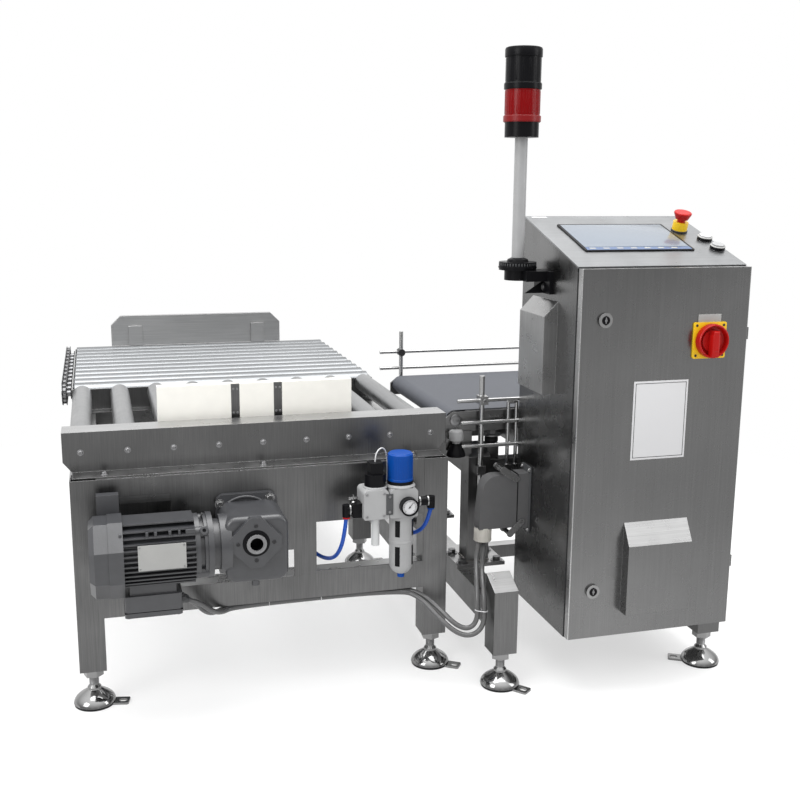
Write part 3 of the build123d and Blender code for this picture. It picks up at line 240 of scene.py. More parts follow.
# The door's upward faces and its left fold get the lighter steel, a painted highlight.
paint(["cabinet_door"], steel_cabinet, (steel_painted_highlight, lambda m, n: (n[:, 2] > 0.25)
                                         | ((n[:, 0] < -0.5) & (m[:, 0] < 0.91))))
main_rollers = sorted(n for n in nodes if n.startswith("main_roller"))
bank_rollers = sorted(n for n in nodes if n.startswith("bank_roller"))
paint(["tail_pulley", "drive_pulley", "pusher_cylinder"], bolt_steel)
paint(["levelling_feet", "door_lock_upper", "door_lock_lower", "connector_lever_upper",
       "connector_lever_lower"], polished)
paint(["gear_case", "motor_body"], grey_paint)
paint(["pusher_blocks"], ivory)
paint(["pusher_carriage"], steel_upright)
paint(["regulator_knob"], blue)
paint(["conveyor_belt"], belt_face)
paint(["touch_screen"], black)
paint(["mains_switch_plate"], yellow)
paint(["emergency_stop", "mains_switch_knob"], red)
paint(["start_button"], white)
paint(["stop_button"], pale_grey)
paint(["motor_cable_front", "motor_cable_back"], cable_grey)
paint(["air_tube_left", "air_tube_right"], tube_blue)
print("painted", sum(1 for n in nodes.values() if n.data.materials))

# %% [markdown]
# ## Building small parts
# A part that is turned on a lathe, such as a washer or a screw head, is a profile of radius and
# height pairs swept round an axis. A box is a cube with its edges bevelled. Lists of points and
# faces are merged, so that one piece with one finish stays one mesh.

# %% Lathe parts, boxes and plates
def revolve(profile, sides=32, start=0.0, sweep=360.0):
    """Points and faces of a profile of (radius, height) pairs swept round +Z."""
    points, faces, rings = [], [], []
    whole = sweep >= 360
    steps = sides if whole else sides + 1
    for radius, height in profile:
        if radius == 0:
            rings.append([len(points)] * steps)
            points.append((0, 0, height))
        else:
            rings.append(list(range(len(points), len(points) + steps)))
            for k in range(steps):
                angle = math.radians(start + sweep * k / sides)
                points.append((radius * math.cos(angle), radius * math.sin(angle), height))
    for low, high in zip(rings, rings[1:]):
        for k in range(sides):
            j = (k + 1) % steps
            face = list(dict.fromkeys((low[k], low[j], high[j], high[k])))
            if len(face) > 2:
                faces.append(face)
    return points, faces


def aimed(shape, place, aim=(0, 0, 1), turn=0.0):
    """A shape turned about +Z, then aimed along a direction and moved."""
    turned = Vector((0, 0, 1)).rotation_difference(Vector(aim)).to_matrix() @ Matrix.Rotation(math.radians(turn), 3, "Z")
    return [tuple(turned @ Vector(p) + Vector(place)) for p in shape[0]], shape[1]


def merged(*shapes):
    """Several shapes as one."""
    points, faces = [], []
    for shape in shapes:
        faces += [[index + len(points) for index in face] for face in shape[1]]
        points += shape[0]
    return points, faces


def block(low, high, soft=0.6):
    """A box between two corners with bevelled edges."""
    work = bmesh.new()
    bmesh.ops.create_cube(work, size=1)
    middle = [(a + b) / 2 for a, b in zip(low, high)]
    for vertex in work.verts:
        vertex.co = Vector([m + c * (b - a) for m, c, a, b in zip(middle, vertex.co, low, high)])
    if soft:
        bmesh.ops.bevel(work, geom=work.edges[:], offset=soft, segments=2, profile=0.6, affect="EDGES")
    work.verts.index_update()
    shape = [tuple(v.co) for v in work.verts], [[v.index for v in f.verts] for f in work.faces]
    work.free()
    return shape


def slab(outline, low, high):
    """A flat outline of (x, y) points, thickened from low to high along Z."""
    count = len(outline)
    points = [(x, y, low) for x, y in outline] + [(x, y, high) for x, y in outline]
    faces = [list(range(count))[::-1], list(range(count, 2 * count))]
    faces += [[k, (k + 1) % count, count + (k + 1) % count, count + k] for k in range(count)]
    return points, faces


def wire(route, radius, sides=12):
    """A round wire along a list of points, closed at both ends."""
    points, faces = [], []
    side = None
    for k, here in enumerate(route):
        ahead = Vector(route[min(k + 1, len(route) - 1)]) - Vector(route[max(k - 1, 0)])
        ahead.normalize()
        side = ahead.orthogonal().normalized() if side is None else (side - ahead * side.dot(ahead)).normalized()
        up = ahead.cross(side)
        for s in range(sides):
            angle = 2 * math.pi * s / sides
            points.append(tuple(Vector(here) + radius * (math.cos(angle) * side + math.sin(angle) * up)))
        if k:
            base = (k - 1) * sides
            faces += [[base + s, base + (s + 1) % sides, base + sides + (s + 1) % sides,
                base + sides + s]
                      for s in range(sides)]
    faces += [list(range(sides))[::-1], list(range(len(points) - sides, len(points)))]
    return points, faces


def arc(middle, radius, start, sweep, plane="XZ", steps=24):
    """Points on an arc; plane names the axes of its cosine and sine."""
    route = []
    for k in range(steps + 1):
        angle = math.radians(start + sweep * k / steps)
        point = list(middle)
        point["XYZ".index(plane[0])] += radius * math.cos(angle)
        point["XYZ".index(plane[1])] += radius * math.sin(angle)
        route.append(tuple(point))
    return route


def plain_object(name, shape, finish=None, sharp=35):
    """A mesh object from a shape in millimetres, smooth up to an edge angle."""
    mesh = bpy.data.meshes.new(name)
    mesh.from_pydata([[c * MM for c in point] for point in shape[0]], [], shape[1])
    mesh.update()
    mesh.shade_smooth()
    mesh.set_sharp_from_angle(angle=math.radians(sharp))
    if finish:
        mesh.materials.append(finish)
    made = new_object(name, mesh)
    return made


def piece(name, shape, finish, body="machine", sharp=35):
    """A small part of one finish that rides on a body."""
    made = plain_object(name, shape, finish, sharp)
    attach(made, body)
    return made


# %% [markdown]
# ## Geometry Nodes for what repeats
# Three small trees do the repeating. The first sets a part on every loose point of a mesh and aims
# it by an attribute. The second makes a ring of parts, such as the ribs of a knob, and sets the
# ring on every point. The third walks along a path and drops a part every so often, such as the
# beads of a weld. Each tree realizes its instances and sets one material.

# %% Trees
def new_tree(name, *sockets):
    """A Geometry Nodes tree with named inputs; returns it with its input sockets and its output."""
    tree = bpy.data.node_groups.new(name, "GeometryNodeTree")
    tree.interface.new_socket("Geometry", in_out="INPUT", socket_type="NodeSocketGeometry")
    for label, kind, value in sockets:
        socket = tree.interface.new_socket(label, in_out="INPUT", socket_type="NodeSocket" + kind)
        if value is not None:
            socket.default_value = value
    tree.interface.new_socket("Geometry", in_out="OUTPUT", socket_type="NodeSocketGeometry")
    return tree, node(tree, "NodeGroupInput").outputs, node(tree, "NodeGroupOutput")


def part_of(tree, given):
    return node(tree, "GeometryNodeObjectInfo", {"Object": given["Part"]},
        transform_space="ORIGINAL").outputs["Geometry"]


def aim_of(tree):
    stored = node(tree, "GeometryNodeInputNamedAttribute", {"Name": "aim"},
        data_type="FLOAT_VECTOR").outputs[0]
    return node(tree, "FunctionNodeAlignRotationToVector", {"Vector": stored}, axis="Z").outputs[0]


def finish_tree(tree, given, geometry, out):
    real = node(tree, "GeometryNodeRealizeInstances", {0: geometry}).outputs[0]
    done = node(tree, "GeometryNodeSetMaterial",
        {"Geometry": real, "Material": given["Finish"]}).outputs[0]
    tree.links.new(done, out.inputs[0])


place_tree, given, out = new_tree(
    "place_parts", ("Part", "Object", None), ("Turn Spread", "Float", 0.0), ("Seed", "Int", 0),
    ("Finish", "Material", None))
spin = node(place_tree, "FunctionNodeRandomValue", {
    "Max": given["Turn Spread"], "Seed": given["Seed"]}, data_type="FLOAT").outputs[1]
spin = node(place_tree, "FunctionNodeAxisAngleToRotation",
    {"Axis": (0, 0, 1), "Angle": spin}).outputs[0]
aim = node(place_tree, "FunctionNodeRotateRotation", {
    "Rotation": aim_of(place_tree), "Rotate By": spin}, rotation_space="LOCAL").outputs[0]
size = node(place_tree, "GeometryNodeInputNamedAttribute", {"Name": "size"},
    data_type="FLOAT").outputs[0]
placed = node(place_tree, "GeometryNodeInstanceOnPoints", {
    "Points": given["Geometry"], "Instance": part_of(place_tree, given), "Rotation": aim, "Scale": size}).outputs[0]
finish_tree(place_tree, given, placed, out)

ring_tree, given, out = new_tree(
    "ring_of_parts", ("Part", "Object", None), ("Count", "Int", 12), ("Radius", "Float", 0.01),
    ("Finish", "Material", None))
circle = node(ring_tree, "GeometryNodeMeshCircle",
    {"Vertices": given["Count"], "Radius": given["Radius"]}).outputs[0]
outward = node(ring_tree, "GeometryNodeInputPosition").outputs[0]
facing = node(ring_tree, "FunctionNodeAlignRotationToVector", {"Vector": outward}, axis="X").outputs[0]
ring = node(ring_tree, "GeometryNodeInstanceOnPoints", {
    "Points": circle, "Instance": part_of(ring_tree, given), "Rotation": facing}).outputs[0]
placed = node(ring_tree, "GeometryNodeInstanceOnPoints", {
    "Points": given["Geometry"], "Instance": ring, "Rotation": aim_of(ring_tree)}).outputs[0]
finish_tree(ring_tree, given, placed, out)

path_tree, given, out = new_tree(
    "parts_along_path", ("Part", "Object", None), ("Spacing", "Float", 0.002), ("Uneven", "Float", 0.2),
    ("Seed", "Int", 0), ("Finish", "Material", None))
path = node(path_tree, "GeometryNodeMeshToCurve", {"Mesh": given["Geometry"]}).outputs[0]
steps = node(path_tree, "GeometryNodeCurveToPoints", {"Curve": path, "Length": given["Spacing"]},
    mode="LENGTH").outputs
least = node(path_tree, "ShaderNodeMath", {0: 1.0, 1: given["Uneven"]}, operation="SUBTRACT").outputs[0]
most = node(path_tree, "ShaderNodeMath", {0: 1.0, 1: given["Uneven"]}, operation="ADD").outputs[0]
swell = node(path_tree, "FunctionNodeRandomValue", {2: least, 3: most, "Seed": given["Seed"]},
    data_type="FLOAT").outputs[1]
placed = node(path_tree, "GeometryNodeInstanceOnPoints", {
    "Points": steps["Points"], "Instance": part_of(path_tree, given), "Rotation": steps["Rotation"],
    "Scale": swell}).outputs[0]
finish_tree(path_tree, given, placed, out)
print("trees", [tree.name for tree in bpy.data.node_groups])


# %% Running a tree
def spots(rows):
    """A mesh of loose points in millimetres that carry an aim and a size."""
    mesh = bpy.data.meshes.new("spots")
    mesh.from_pydata([[c * MM for c in row[0]] for row in rows], [], [])
    aims = mesh.attributes.new("aim", "FLOAT_VECTOR", "POINT")
    aims.data.foreach_set("vector", [float(c) for row in rows for c in row[1]])
    sizes = mesh.attributes.new("size", "FLOAT", "POINT")
    sizes.data.foreach_set("value", [row[2] if len(row) > 2 else 1.0 for row in rows])
    return mesh


def paths(routes, closed=False):
    """A mesh of polylines in millimetres."""
    points, edges = [], []
    for route in routes:
        start = len(points)
        points += [[c * MM for c in point] for point in route]
        edges += [(start + k, start + k + 1) for k in range(len(route) - 1)]
        if closed:
            edges.append((len(points) - 1, start))
    mesh = bpy.data.meshes.new("paths")
    mesh.from_pydata(points, edges, [])
    return mesh


def grow(name, tree, source, part, finish, body="machine", **values):
    """Run a tree on a source mesh and keep the result as one plain mesh on a body."""
    seedling = bpy.data.objects.new(name + "_source", source)
    sample = plain_object(name + "_part", part)
    bpy.context.scene.collection.objects.link(seedling)
    modifier = seedling.modifiers.new("repeat", "NODES")
    modifier.node_group = tree
    named = {item.name: item.identifier for item in tree.interface.items_tree if item.in_out == "INPUT"}
    values.update(Part=sample, Finish=finish)
    for label, value in values.items():
        modifier[named[label.replace("_", " ")]] = value
    graph = bpy.context.evaluated_depsgraph_get()
    mesh = bpy.data.meshes.new_from_object(seedling.evaluated_get(graph))
    seedling.modifiers.remove(modifier)
    for used in (seedling, sample):
        bpy.data.objects.remove(used)
    made = new_object(name, mesh)
    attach(made, body)
    print(name, len(mesh.polygons), "faces")
    return made


def scatter(name, rows, part, finish, body="machine", seed=None):
    """One part on every row of place and aim; with a seed each is turned by chance."""
    chance = {} if seed is None else {"Turn_Spread": 6.28, "Seed": seed}
    return grow(name, place_tree, spots(rows), part, finish, body, **chance)


def ring_of(name, place, part, finish, count, radius, body="machine"):
    """Equal parts in a ring round an upright axis."""
    return grow(name, ring_tree, spots([(place, (0, 0, 1))]), part, finish, body, Count=count,
        Radius=radius)


# %% Heads of screws and bolts
def button_head(radius=5.0, height=3.0, washer=7.0):
    """A round head with a socket on a washer."""
    socket, seat = radius * 0.46, 1.0 if washer else 0.0
    head = [(radius, seat), (radius, seat + 0.25 * height), (0.9 * radius, seat + 0.65 * height),
            (0.68 * radius, seat + 0.92 * height), (socket, seat + height), (socket,
                seat + 0.4 * height),
            (0, seat + 0.4 * height)]
    ring = [(washer, 0), (washer, seat), (radius * 0.8, seat)]
    return merged(revolve(head, 24), revolve(ring, 28)) if washer else revolve(head, 24)


def hex_head(across=13.0, height=6.0, washer=9.5):
    """A six-sided bolt head on a washer."""
    corner = across / math.sqrt(3)
    head = [(corner, 1.5), (corner, 1.5 + 0.85 * height), (0.87 * corner, 1.5 + height),
        (0, 1.5 + height)]
    ring = [(washer, 0), (washer, 1.5), (corner * 0.8, 1.5)]
    return merged(revolve(head, 6), revolve(ring, 32))


def cap_head(radius=4.5, height=5.0):
    """A cylindrical head with a deep socket."""
    return revolve([(radius, 0), (radius, height - 0.5), (radius - 0.5, height), (0.5 * radius, height),
                    (0.5 * radius, 0.45 * height), (0, 0.45 * height)], 24)


toward, up, right, left, back = (0, -1, 0), (0, 0, 1), (1, 0, 0), (-1, 0, 0), (0, 1, 0)

# %% [markdown]
# ## Places to build from
# Every small part sits on a CAD piece, so its place is worked out from the boxes of the CAD nodes
# wherever it can be. From here on all lengths are millimetres until a mesh is made.

# %% Places
def extent(name):
    """Lowest and highest corner of a CAD node in millimetres."""
    return [[c / MM for c in corner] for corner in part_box(name)]


def centre(name):
    return [(a + b) / 2 for a, b in zip(*extent(name))]


table_right = extent("table_frame")[1][0]
rail_front = 29.0
rail_back = 609.0
axle_height = centre("main_roller_1")[2]
axle_rows = [centre(name)[0] for name in main_rollers]
bank_rows = sorted(centre(name)[1] for name in bank_rollers)
bank_height = extent("bank_roller_1")[1][2] - 25
cabinet_left, cabinet_right = extent("console_panel")[0][0], extent("console_panel")[1][0]
door_face = extent("mains_switch_plate")[1][1]
weigh_right = extent("conveyor_frame")[1][0]
shaft_x = centre("output_shaft")[0]
gear_height, cover_face, panel_face = 352, -155, -37
console_origin = Vector((0, -202, 850))
console_up = Vector((0, 262, 84)).normalized()
console_out = Vector((0, -console_up.z, console_up.y))
feet = [(x, y) for y in (0, 623, 1150) for x in (0, table_right - 25)]
feet += [(table_right + 82, -133), (table_right + 82, 480), (weigh_right - 74, -144),
    (weigh_right - 74, 480)]


def on_console(across, along, out=0.0):
    """A point on the sloping console: across is X, along goes up the slope, out stands off it."""
    return tuple(console_origin + Vector((across, 0, 0)) + along * console_up + out * console_out)


def lifted(shape):
    """A shape drawn with X across, Y up the slope and Z out, put on the console."""
    return [on_console(*point) for point in shape[0]], shape[1]


print("axles", axle_rows[0], axle_rows[-1], "bank", bank_rows[0], bank_rows[-1], "door face", door_face)

# %% More finishes
bolt_black = solid_finish("bolt_blackened", (0.035, 0.035, 0.037), 0.4, metallic=0.5)
plate_silver = solid_finish("silver_plate", (0.36, 0.36, 0.35), 0.42, metallic=0.15, mottle=0.03)
beige = solid_finish("beige_gland", (0.6, 0.58, 0.53), 0.45, mottle=0.04)
glass_pale = solid_finish("screen_glass", (0.17, 0.2, 0.24), 0.2, coat=0.45)
key_blue = solid_finish("key_strip_blue", (0.09, 0.14, 0.26), 0.3)
weld_steel = solid_finish("weld_bead", (0.3, 0.29, 0.28), 0.38, metallic=1.0, mottle=0.25)
dark_red = solid_finish("red_ring", (0.2, 0.004, 0.005), 0.35, shine=0.3)
lens_red = solid_finish("red_lens", (0.2, 0.001, 0.002), 0.2, shine=0.2)
smoke = solid_finish("clear_cup", (0.55, 0.56, 0.56), 0.14, coat=0.6)
dark_grey = solid_finish("dark_grey_moulding", (0.06, 0.062, 0.065), 0.45, bump=0.1, mottle=0.06)
print("finishes", len(bpy.data.materials))

# %% [markdown]
# ## Two-tone CAD pieces
# Several CAD solids are one casting in the model but have two colours on the machine: a black
# collar under a blue knob, a red lens between black modules, a yellow collar on the console.
# A rule on the middle of each face picks the finish.

# %% Two-tone pieces
def near(middle, x, y, radius):
    """Faces whose middle lies within a radius of an upright axis."""
    return np.hypot(middle[:, 0] - x * MM, middle[:, 1] - y * MM) < radius * MM


def above(middle, low, high=5000):
    return (middle[:, 2] > low * MM) & (middle[:, 2] < high * MM)


paint(main_rollers, zinc_turned, (black, lambda m, n: abs(n[:, 1]) > 0.9))
paint(bank_rollers, zinc_turned_across,
      (black, lambda m, n: (abs(n[:, 0]) > 0.9) & (m[:, 0] > -0.03)),
      (bolt_steel, lambda m, n: m[:, 0] < -0.03))
tower_x, tower_y = cabinet_left - 50.5, -31
paint(["signal_tower"], black,
      (pale_grey, lambda m, n: above(m, 848.5, 1086.5)),
      (dark_red, lambda m, n: above(m, 1115.5, 1128.2)),
      (lens_red, lambda m, n: above(m, 1128.3, 1175.8)))
paint(["connector_housing"], enamel, (beige, lambda m, n: above(m, 0, 289.8) & (m[:, 0] < 0.83)))
valve_x, knob_x, bowl_x, unit_y = 541, 591.5, 594.5, -85
gauge_x, gauge_z = 600, 388
paint(["regulator_body"], pale_grey,
      (black, lambda m, n: (above(m, 421.5) & near(m, knob_x, unit_y, 30)) | (m[:, 0] > 0.6202)
          | (m[:, 0] < 0.5118)),
      (black, lambda m, n: above(m, 422.2) & near(m, valve_x, unit_y, 23)),
      (black, lambda m, n: (m[:, 1] < -0.1132) & (m[:, 0] > 0.5815) & above(m, 369, 407)),
      (smoke, lambda m, n: above(m, 300, 363.8) & near(m, valve_x + 1, unit_y, 9)),
      (blue, lambda m, n: above(m, 230, 242) & near(m, bowl_x, unit_y, 7.5)))


def slope_height(middle):
    """How far face middles stand off the console plane, in millimetres."""
    return (middle - np.array(console_origin) * MM) @ np.array(console_out) / MM


def slope_near(middle, across, along, radius):
    spot = np.array(on_console(across, along)) * MM
    off = middle - spot
    off -= np.outer(off @ np.array(console_out), np.array(console_out))
    return np.linalg.norm(off, axis=1) < radius * MM


stop_across, stop_along = cabinet_right - 47.9, 183.8
button_across, button_rows = cabinet_right - 16.5, (134, 83)
paint(["console_panel"], steel_pale,
      (yellow, lambda m, n: (slope_height(m) > 0.5) & slope_near(m, stop_across, stop_along, 16)),
      (black, lambda m, n: (slope_height(m) > 0.3) & (slope_near(m, button_across, button_rows[0], 15.5)
                                                      | slope_near(m, button_across, button_rows[1], 15.5))))
paint(["output_shaft"], bolt_steel, (black, lambda m, n: (m[:, 1] < -0.12) & (
    np.hypot(m[:, 0] - shaft_x * MM, m[:, 2] - gear_height * MM) < 0.0125)))
paint(["chains_and_belts"], rubber, (bolt_black, lambda m, n: m[:, 0] < -0.03))
paint(["side_guides"], steel_rod, (bolt_black, lambda m, n: (m[:, 1] > 0.53) & above(m, 570, 590) & (
    (abs(m[:, 0] - 0.773) < 0.0095) | (abs(m[:, 0] - 1.27) < 0.0095))))
print("two-tone pieces painted")

# %% [markdown]
# ## Fasteners of the table
# Each roller axle is held by a screw through the rail, and the rail stands on the frame with cap
# screws. The tree sets one head on many points and turns each a little at random, as hands do.

# %% Rail and shelf screws
rows = [((x, rail_front, axle_height), toward) for x in axle_rows]
rows += [((x, rail_back, axle_height), back) for x in axle_rows]
scatter("rail_screws", rows, button_head(4.6, 3.2, 6.2), bolt_steel, seed=3)
rows = [((x, 4, 458), up) for x in (38, 339, 644)]
scatter("shelf_screws", rows, merged(cap_head(5, 5.5), revolve([(8, 0), (8, 1), (4, 1)], 28)),
     bolt_steel, seed=5)

# %% Base plate bolts, stem threads and rubber rings of the feet
stand_x = (table_right + 110, weigh_right - 98)
rows = [((x, y + side, 185), up) for x in (stand_x[0] - 39, stand_x[0] + 41) for y in (112, 455)
    for side in (-35, 35)]
rows += [((x, y + side, 128), up) for x in (stand_x[1] - 41, stand_x[1] + 41) for y in (112, 455)
    for side in (-35, 35)]
scatter("base_plate_bolts", rows, hex_head(16, 8, 13), bolt_steel, seed=8)
rows = [((x, y, 0), up) for x, y in feet]
thread = revolve([(8.2, 40)] + [(8.2 + 0.9 * (k % 2), 41 + k * 0.95)
    for k in range(19)] + [(8.2, 59.5)], 28)
scatter("stem_threads", rows, thread, bolt_steel)
ring = revolve([(30, 0.1), (38.4, 0.1), (38.8, 1), (38.8, 3.4), (38, 4.3), (30, 4.3), (30, 0.1)], 48)
scatter("rubber_rings", rows, ring, rubber)

# %% Weld beads round the posts and the block leg
bead = revolve([(0, -1.7), (1.5, -0.9), (2.0, 0), (1.5, 0.9), (0, 1.7)], 8)
posts = [(x, y, z) for x, z in ((stand_x[0], 186), (stand_x[1], 129)) for y in (112, 455)]
squares = [[(x + a * 25.6, y + b * 25.6, z) for a, b in ((-1, -1), (1, -1), (1, 1), (-1, 1))] for x, y,
    z in posts]
grow("post_welds", path_tree, paths(squares, closed=True), bead, weld_steel, Spacing=0.0023,
    Uneven=0.2, Seed=4)
corners = [[(25.6, y, 183 + k * 46) for k in (0, 1)] for y in (598.5, 647.5)]
corners += [[(table_right - 50.6, y, 183 + k * 46) for k in (0, 1)] for y in (598.5, 647.5)]
grow("frame_welds", path_tree, paths(corners), bead, weld_steel, Spacing=0.0023, Uneven=0.2, Seed=9)

# %% [markdown]
# ## The roller chain
# The CAD chain is a pair of bands. Here every second link gets its outer plates, shaped like a
# figure of eight, and every joint the head of its pin. The pins end at the plates, clear of the
# sprocket teeth that turn behind them. Their places follow the loop: two straight runs and a
# half turn round each end sprocket, walked in equal steps.

# %% Chain links and bank bearings
link_pitch = 12.7
wheel = link_pitch / 2 / math.sin(math.pi / 11)
straight = bank_rows[-1] - bank_rows[0]
loop = 2 * straight + 2 * math.pi * wheel
link_count = 2 * round(loop / link_pitch / 2)


def on_chain(travel):
    """Point and direction (y, z) at a distance along the chain."""
    travel %= loop
    if travel < straight:
        return (bank_rows[0] + travel, bank_height + wheel), (1, 0)
    travel -= straight
    if travel < math.pi * wheel:
        turn = travel / wheel
        return ((bank_rows[-1] + wheel * math.sin(turn), bank_height + wheel * math.cos(turn)),
                (math.cos(turn), -math.sin(turn)))
    travel -= math.pi * wheel
    if travel < straight:
        return (bank_rows[-1] - travel, bank_height - wheel), (-1, 0)
    turn = (travel - straight) / wheel
    return ((bank_rows[0] - wheel * math.sin(turn), bank_height - wheel * math.cos(turn)),
            (-math.cos(turn), math.sin(turn)))


eight = []
for k in range(32):
    angle = 2 * math.pi * k / 32
    lean = math.cos(angle)
    eight.append((4.9 * math.sin(angle) * (0.72 + 0.28 * abs(lean)),
        lean * 4.9 + math.copysign(6.35, lean)))
plate = slab(eight, -0.6, 0.6)
plate = [(z, x, y) for x, y, z in plate[0]], plate[1]
rows = []
for k in range(0, link_count, 2):
    (y, z), (dy, dz) = on_chain((k + 0.5) * loop / link_count)
    rows.append(((-50.9, y, z), (0, dy, dz)))
scatter("chain_plates", rows, plate, steel_pale)
pins = [((-51.9, *on_chain(k * loop / link_count)[0]), right) for k in range(link_count)]
scatter("chain_pins", pins, revolve([(0, 0), (1.4, 0), (1.9, 0.4), (1.9, 1.6)], 14), bolt_steel)
rows = [((table_right + 3, y, bank_height), right) for y in bank_rows] + [((-28, y, bank_height), left)
    for y in bank_rows]
flange = revolve([(8, 0), (15, 0), (15, 1.2), (12, 3), (8, 3), (8, 0)], 32)
scatter("bank_bearings", rows, flange, bolt_black)

# %% [markdown]
# ## Gearmotor
# The castings are CAD. What goes on them here is what the works bolts on afterwards: a blank rating
# plate on four rivets, cast webs that tie two fins together, cover screws, a shaft seal, cable
# glands and the bolts that hold the drive to the panel.

# %% Rating plate, fin webs and lid seam
piece("rating_plate", block((88, -170.8, 323), (172, -169.4, 370), 0.4), plate_silver)
rows = [((x, -170.8, z), toward) for x in (91.5, 168.5) for z in (326.5, 366.5)]
scatter("plate_rivets", rows, revolve([(1.6, 0), (1.4, 0.6), (0.7, 1.0), (0, 1.1)], 14), bolt_steel)
webs = [block((low, -155, 379), (high, -141, 388), 0.8) for low, high in (
    (57, 62), (103, 108), (118, 123), (143, 148), (160, 164), (173, 190))]
piece("fin_webs", merged(*webs), grey_paint)
piece("lid_seam", block((61.6, -136.4, 231), (165.4, -71.6, 232.3), 0.2), black)
rows = [((x, y, 222), (0, 0, -1)) for x in (69, 158) for y in (-129, -79)]
scatter("lid_screws", rows, button_head(4, 2.4, 0), bolt_steel, seed=11)

# %% Glands, plug, gear cover screws and seal
nut = merged(revolve([(7.6, 0), (7.6, 6), (0, 6)], 6),
             revolve([(6.8, 6), (6.8, 12.5), (5.9, 15.5), (5.1, 15.5), (5.1, 6)], 24))
rows = [((165, -96, 236), (33, 10, -14)), ((165, -80, 236), (27, 8, -19))]
scatter("motor_glands", rows, nut, dark_grey)
eye = revolve([(3.4, 0), (8.4, 0), (8.4, 2.4), (6.8, 4), (3.4, 4), (3.4, 0)], 28)
piece("neck_boss", aimed(eye, (206, -150, 382.5), (0, -0.9, 0.42)), grey_paint)
piece("neck_plug", aimed(revolve([(3.5, 0), (3.5, 2.4), (0, 2.4)], 16), (206, -150, 382.5),
    (0, -0.9, 0.42)), black)
rows = [((shaft_x + 33 * a, cover_face, gear_height + 33 * b), toward) for a,
    b in ((0, 1), (1, 0), (0, -1), (-1, 0))]
scatter("cover_screws", rows, cap_head(3.8, 1.4), bolt_black, seed=2)
seal = revolve([(18.7, 0), (25, 0), (25, 0.7), (22, 1.5), (18.7, 1.5), (18.7, 0)], 40)
piece("shaft_seal", aimed(seal, (shaft_x, cover_face, gear_height), toward), black)
collar = revolve([(14, 0), (18.2, 0), (18.2, 0.8), (14, 0.8), (14, 0)], 40)
piece("hub_face", aimed(collar, (shaft_x, cover_face - 7, gear_height), toward), bolt_steel,
    "drive_shaft")

# %% Panel flange: bolts and cast rib
rows = [((247.3, panel_face, 395.4), toward), ((343.3, panel_face, 401), toward),
    ((249, panel_face, 300), toward), ((349, panel_face, 300), toward)]
bolt = merged(cap_head(6.6, 8), revolve([(9.6, 0), (9.6, 1.4), (6, 1.4)], 32))
scatter("flange_bolts", rows, bolt, polished, seed=6)
piece("flange_rib", wire(arc((295, panel_face - 1.5, gear_height), 55, 50, 80), 2.8), grey_paint)
piece("flange_spigot", aimed(revolve([(44, 0), (44, 5), (40, 7), (30, 7)], 48),
    (299, panel_face, gear_height), toward), grey_paint)
piece("lift_eye", aimed(revolve([(2, 0), (2, 9), (1.2, 13), (0, 13)], 12), (207, -104, 389), up),
    bolt_steel)

# %% [markdown]
# ## Air preparation unit
# The gauge is a white dial in a black bezel; its scale marks are set on points of an arc by the
# tree. The knob gets fine ribs from the ring tree. The bowl guard has four pairs of windows that
# show the dark inside, so they are thin curved plates just proud of the guard.

# %% Gauge and knob
dial_face = (gauge_x, -124.6, gauge_z)
piece("gauge_dial", aimed(revolve([(0, 0), (14.8, 0), (14.8, 0.5)], 40), dial_face, (0, -1, 0)), white)
piece("gauge_front", aimed(revolve([(0, 0.6), (14.7, 0.6), (14.7, 0), (0, 0)], 40), dial_face, toward),
    white)
ticks = []
for k in range(25):
    angle = math.radians(225 - 270 * k / 24)
    ticks.append(((gauge_x + 11.6 * math.cos(angle), -125.3, gauge_z + 11.6 * math.sin(angle)),
                  (math.cos(angle), 0, math.sin(angle)), 1.6 if k % 4 == 0 else 1.0))
scatter("gauge_marks", ticks, block((-0.2, -0.15, -1), (0.2, 0.15, 1), 0), bolt_black)
needle = block((-0.45, -0.2, -4), (0.45, 0.2, 9.5), 0.1)
piece("gauge_needle", aimed(needle, (gauge_x, -125.8, gauge_z), (0.62, 0, 0.78)), black)
piece("needle_hub", aimed(revolve([(0, 0), (1.6, 0), (1.4, 1), (0, 1.2)], 16),
    (gauge_x, -125.6, gauge_z), toward), black)
bezel = revolve([(14.6, 0), (18.1, 0), (18.1, 2.5), (17, 3.6), (15.2, 3.6), (14.6, 2.4), (14.6, 0)], 44)
piece("gauge_bezel", aimed(bezel, (gauge_x, -124.6, gauge_z), toward), black)
rib = block((-0.5, -0.55, -24), (0.35, 0.55, 22), 0.25)
ring_of("knob_ribs", (knob_x, unit_y, 460), rib, blue, 48, 0.0245, "regulator_knob")
skirt = revolve([(23.8, 433.4), (25.4, 433.4), (25.4, 437.5), (24.6, 438.2), (23.8, 433.4)], 48)
piece("knob_skirt", aimed(skirt, (knob_x, unit_y, 0)), blue, "regulator_knob")

# %% Bowl guard, collars and fittings
def window(turn, low, high):
    """A curved dark plate on the bowl guard."""
    shown = revolve([(23.0, low), (23.9, low), (23.9, high), (23.0, high), (23.0, low)], 6, turn - 12,
        24)
    return aimed(shown, (bowl_x, unit_y, 0))


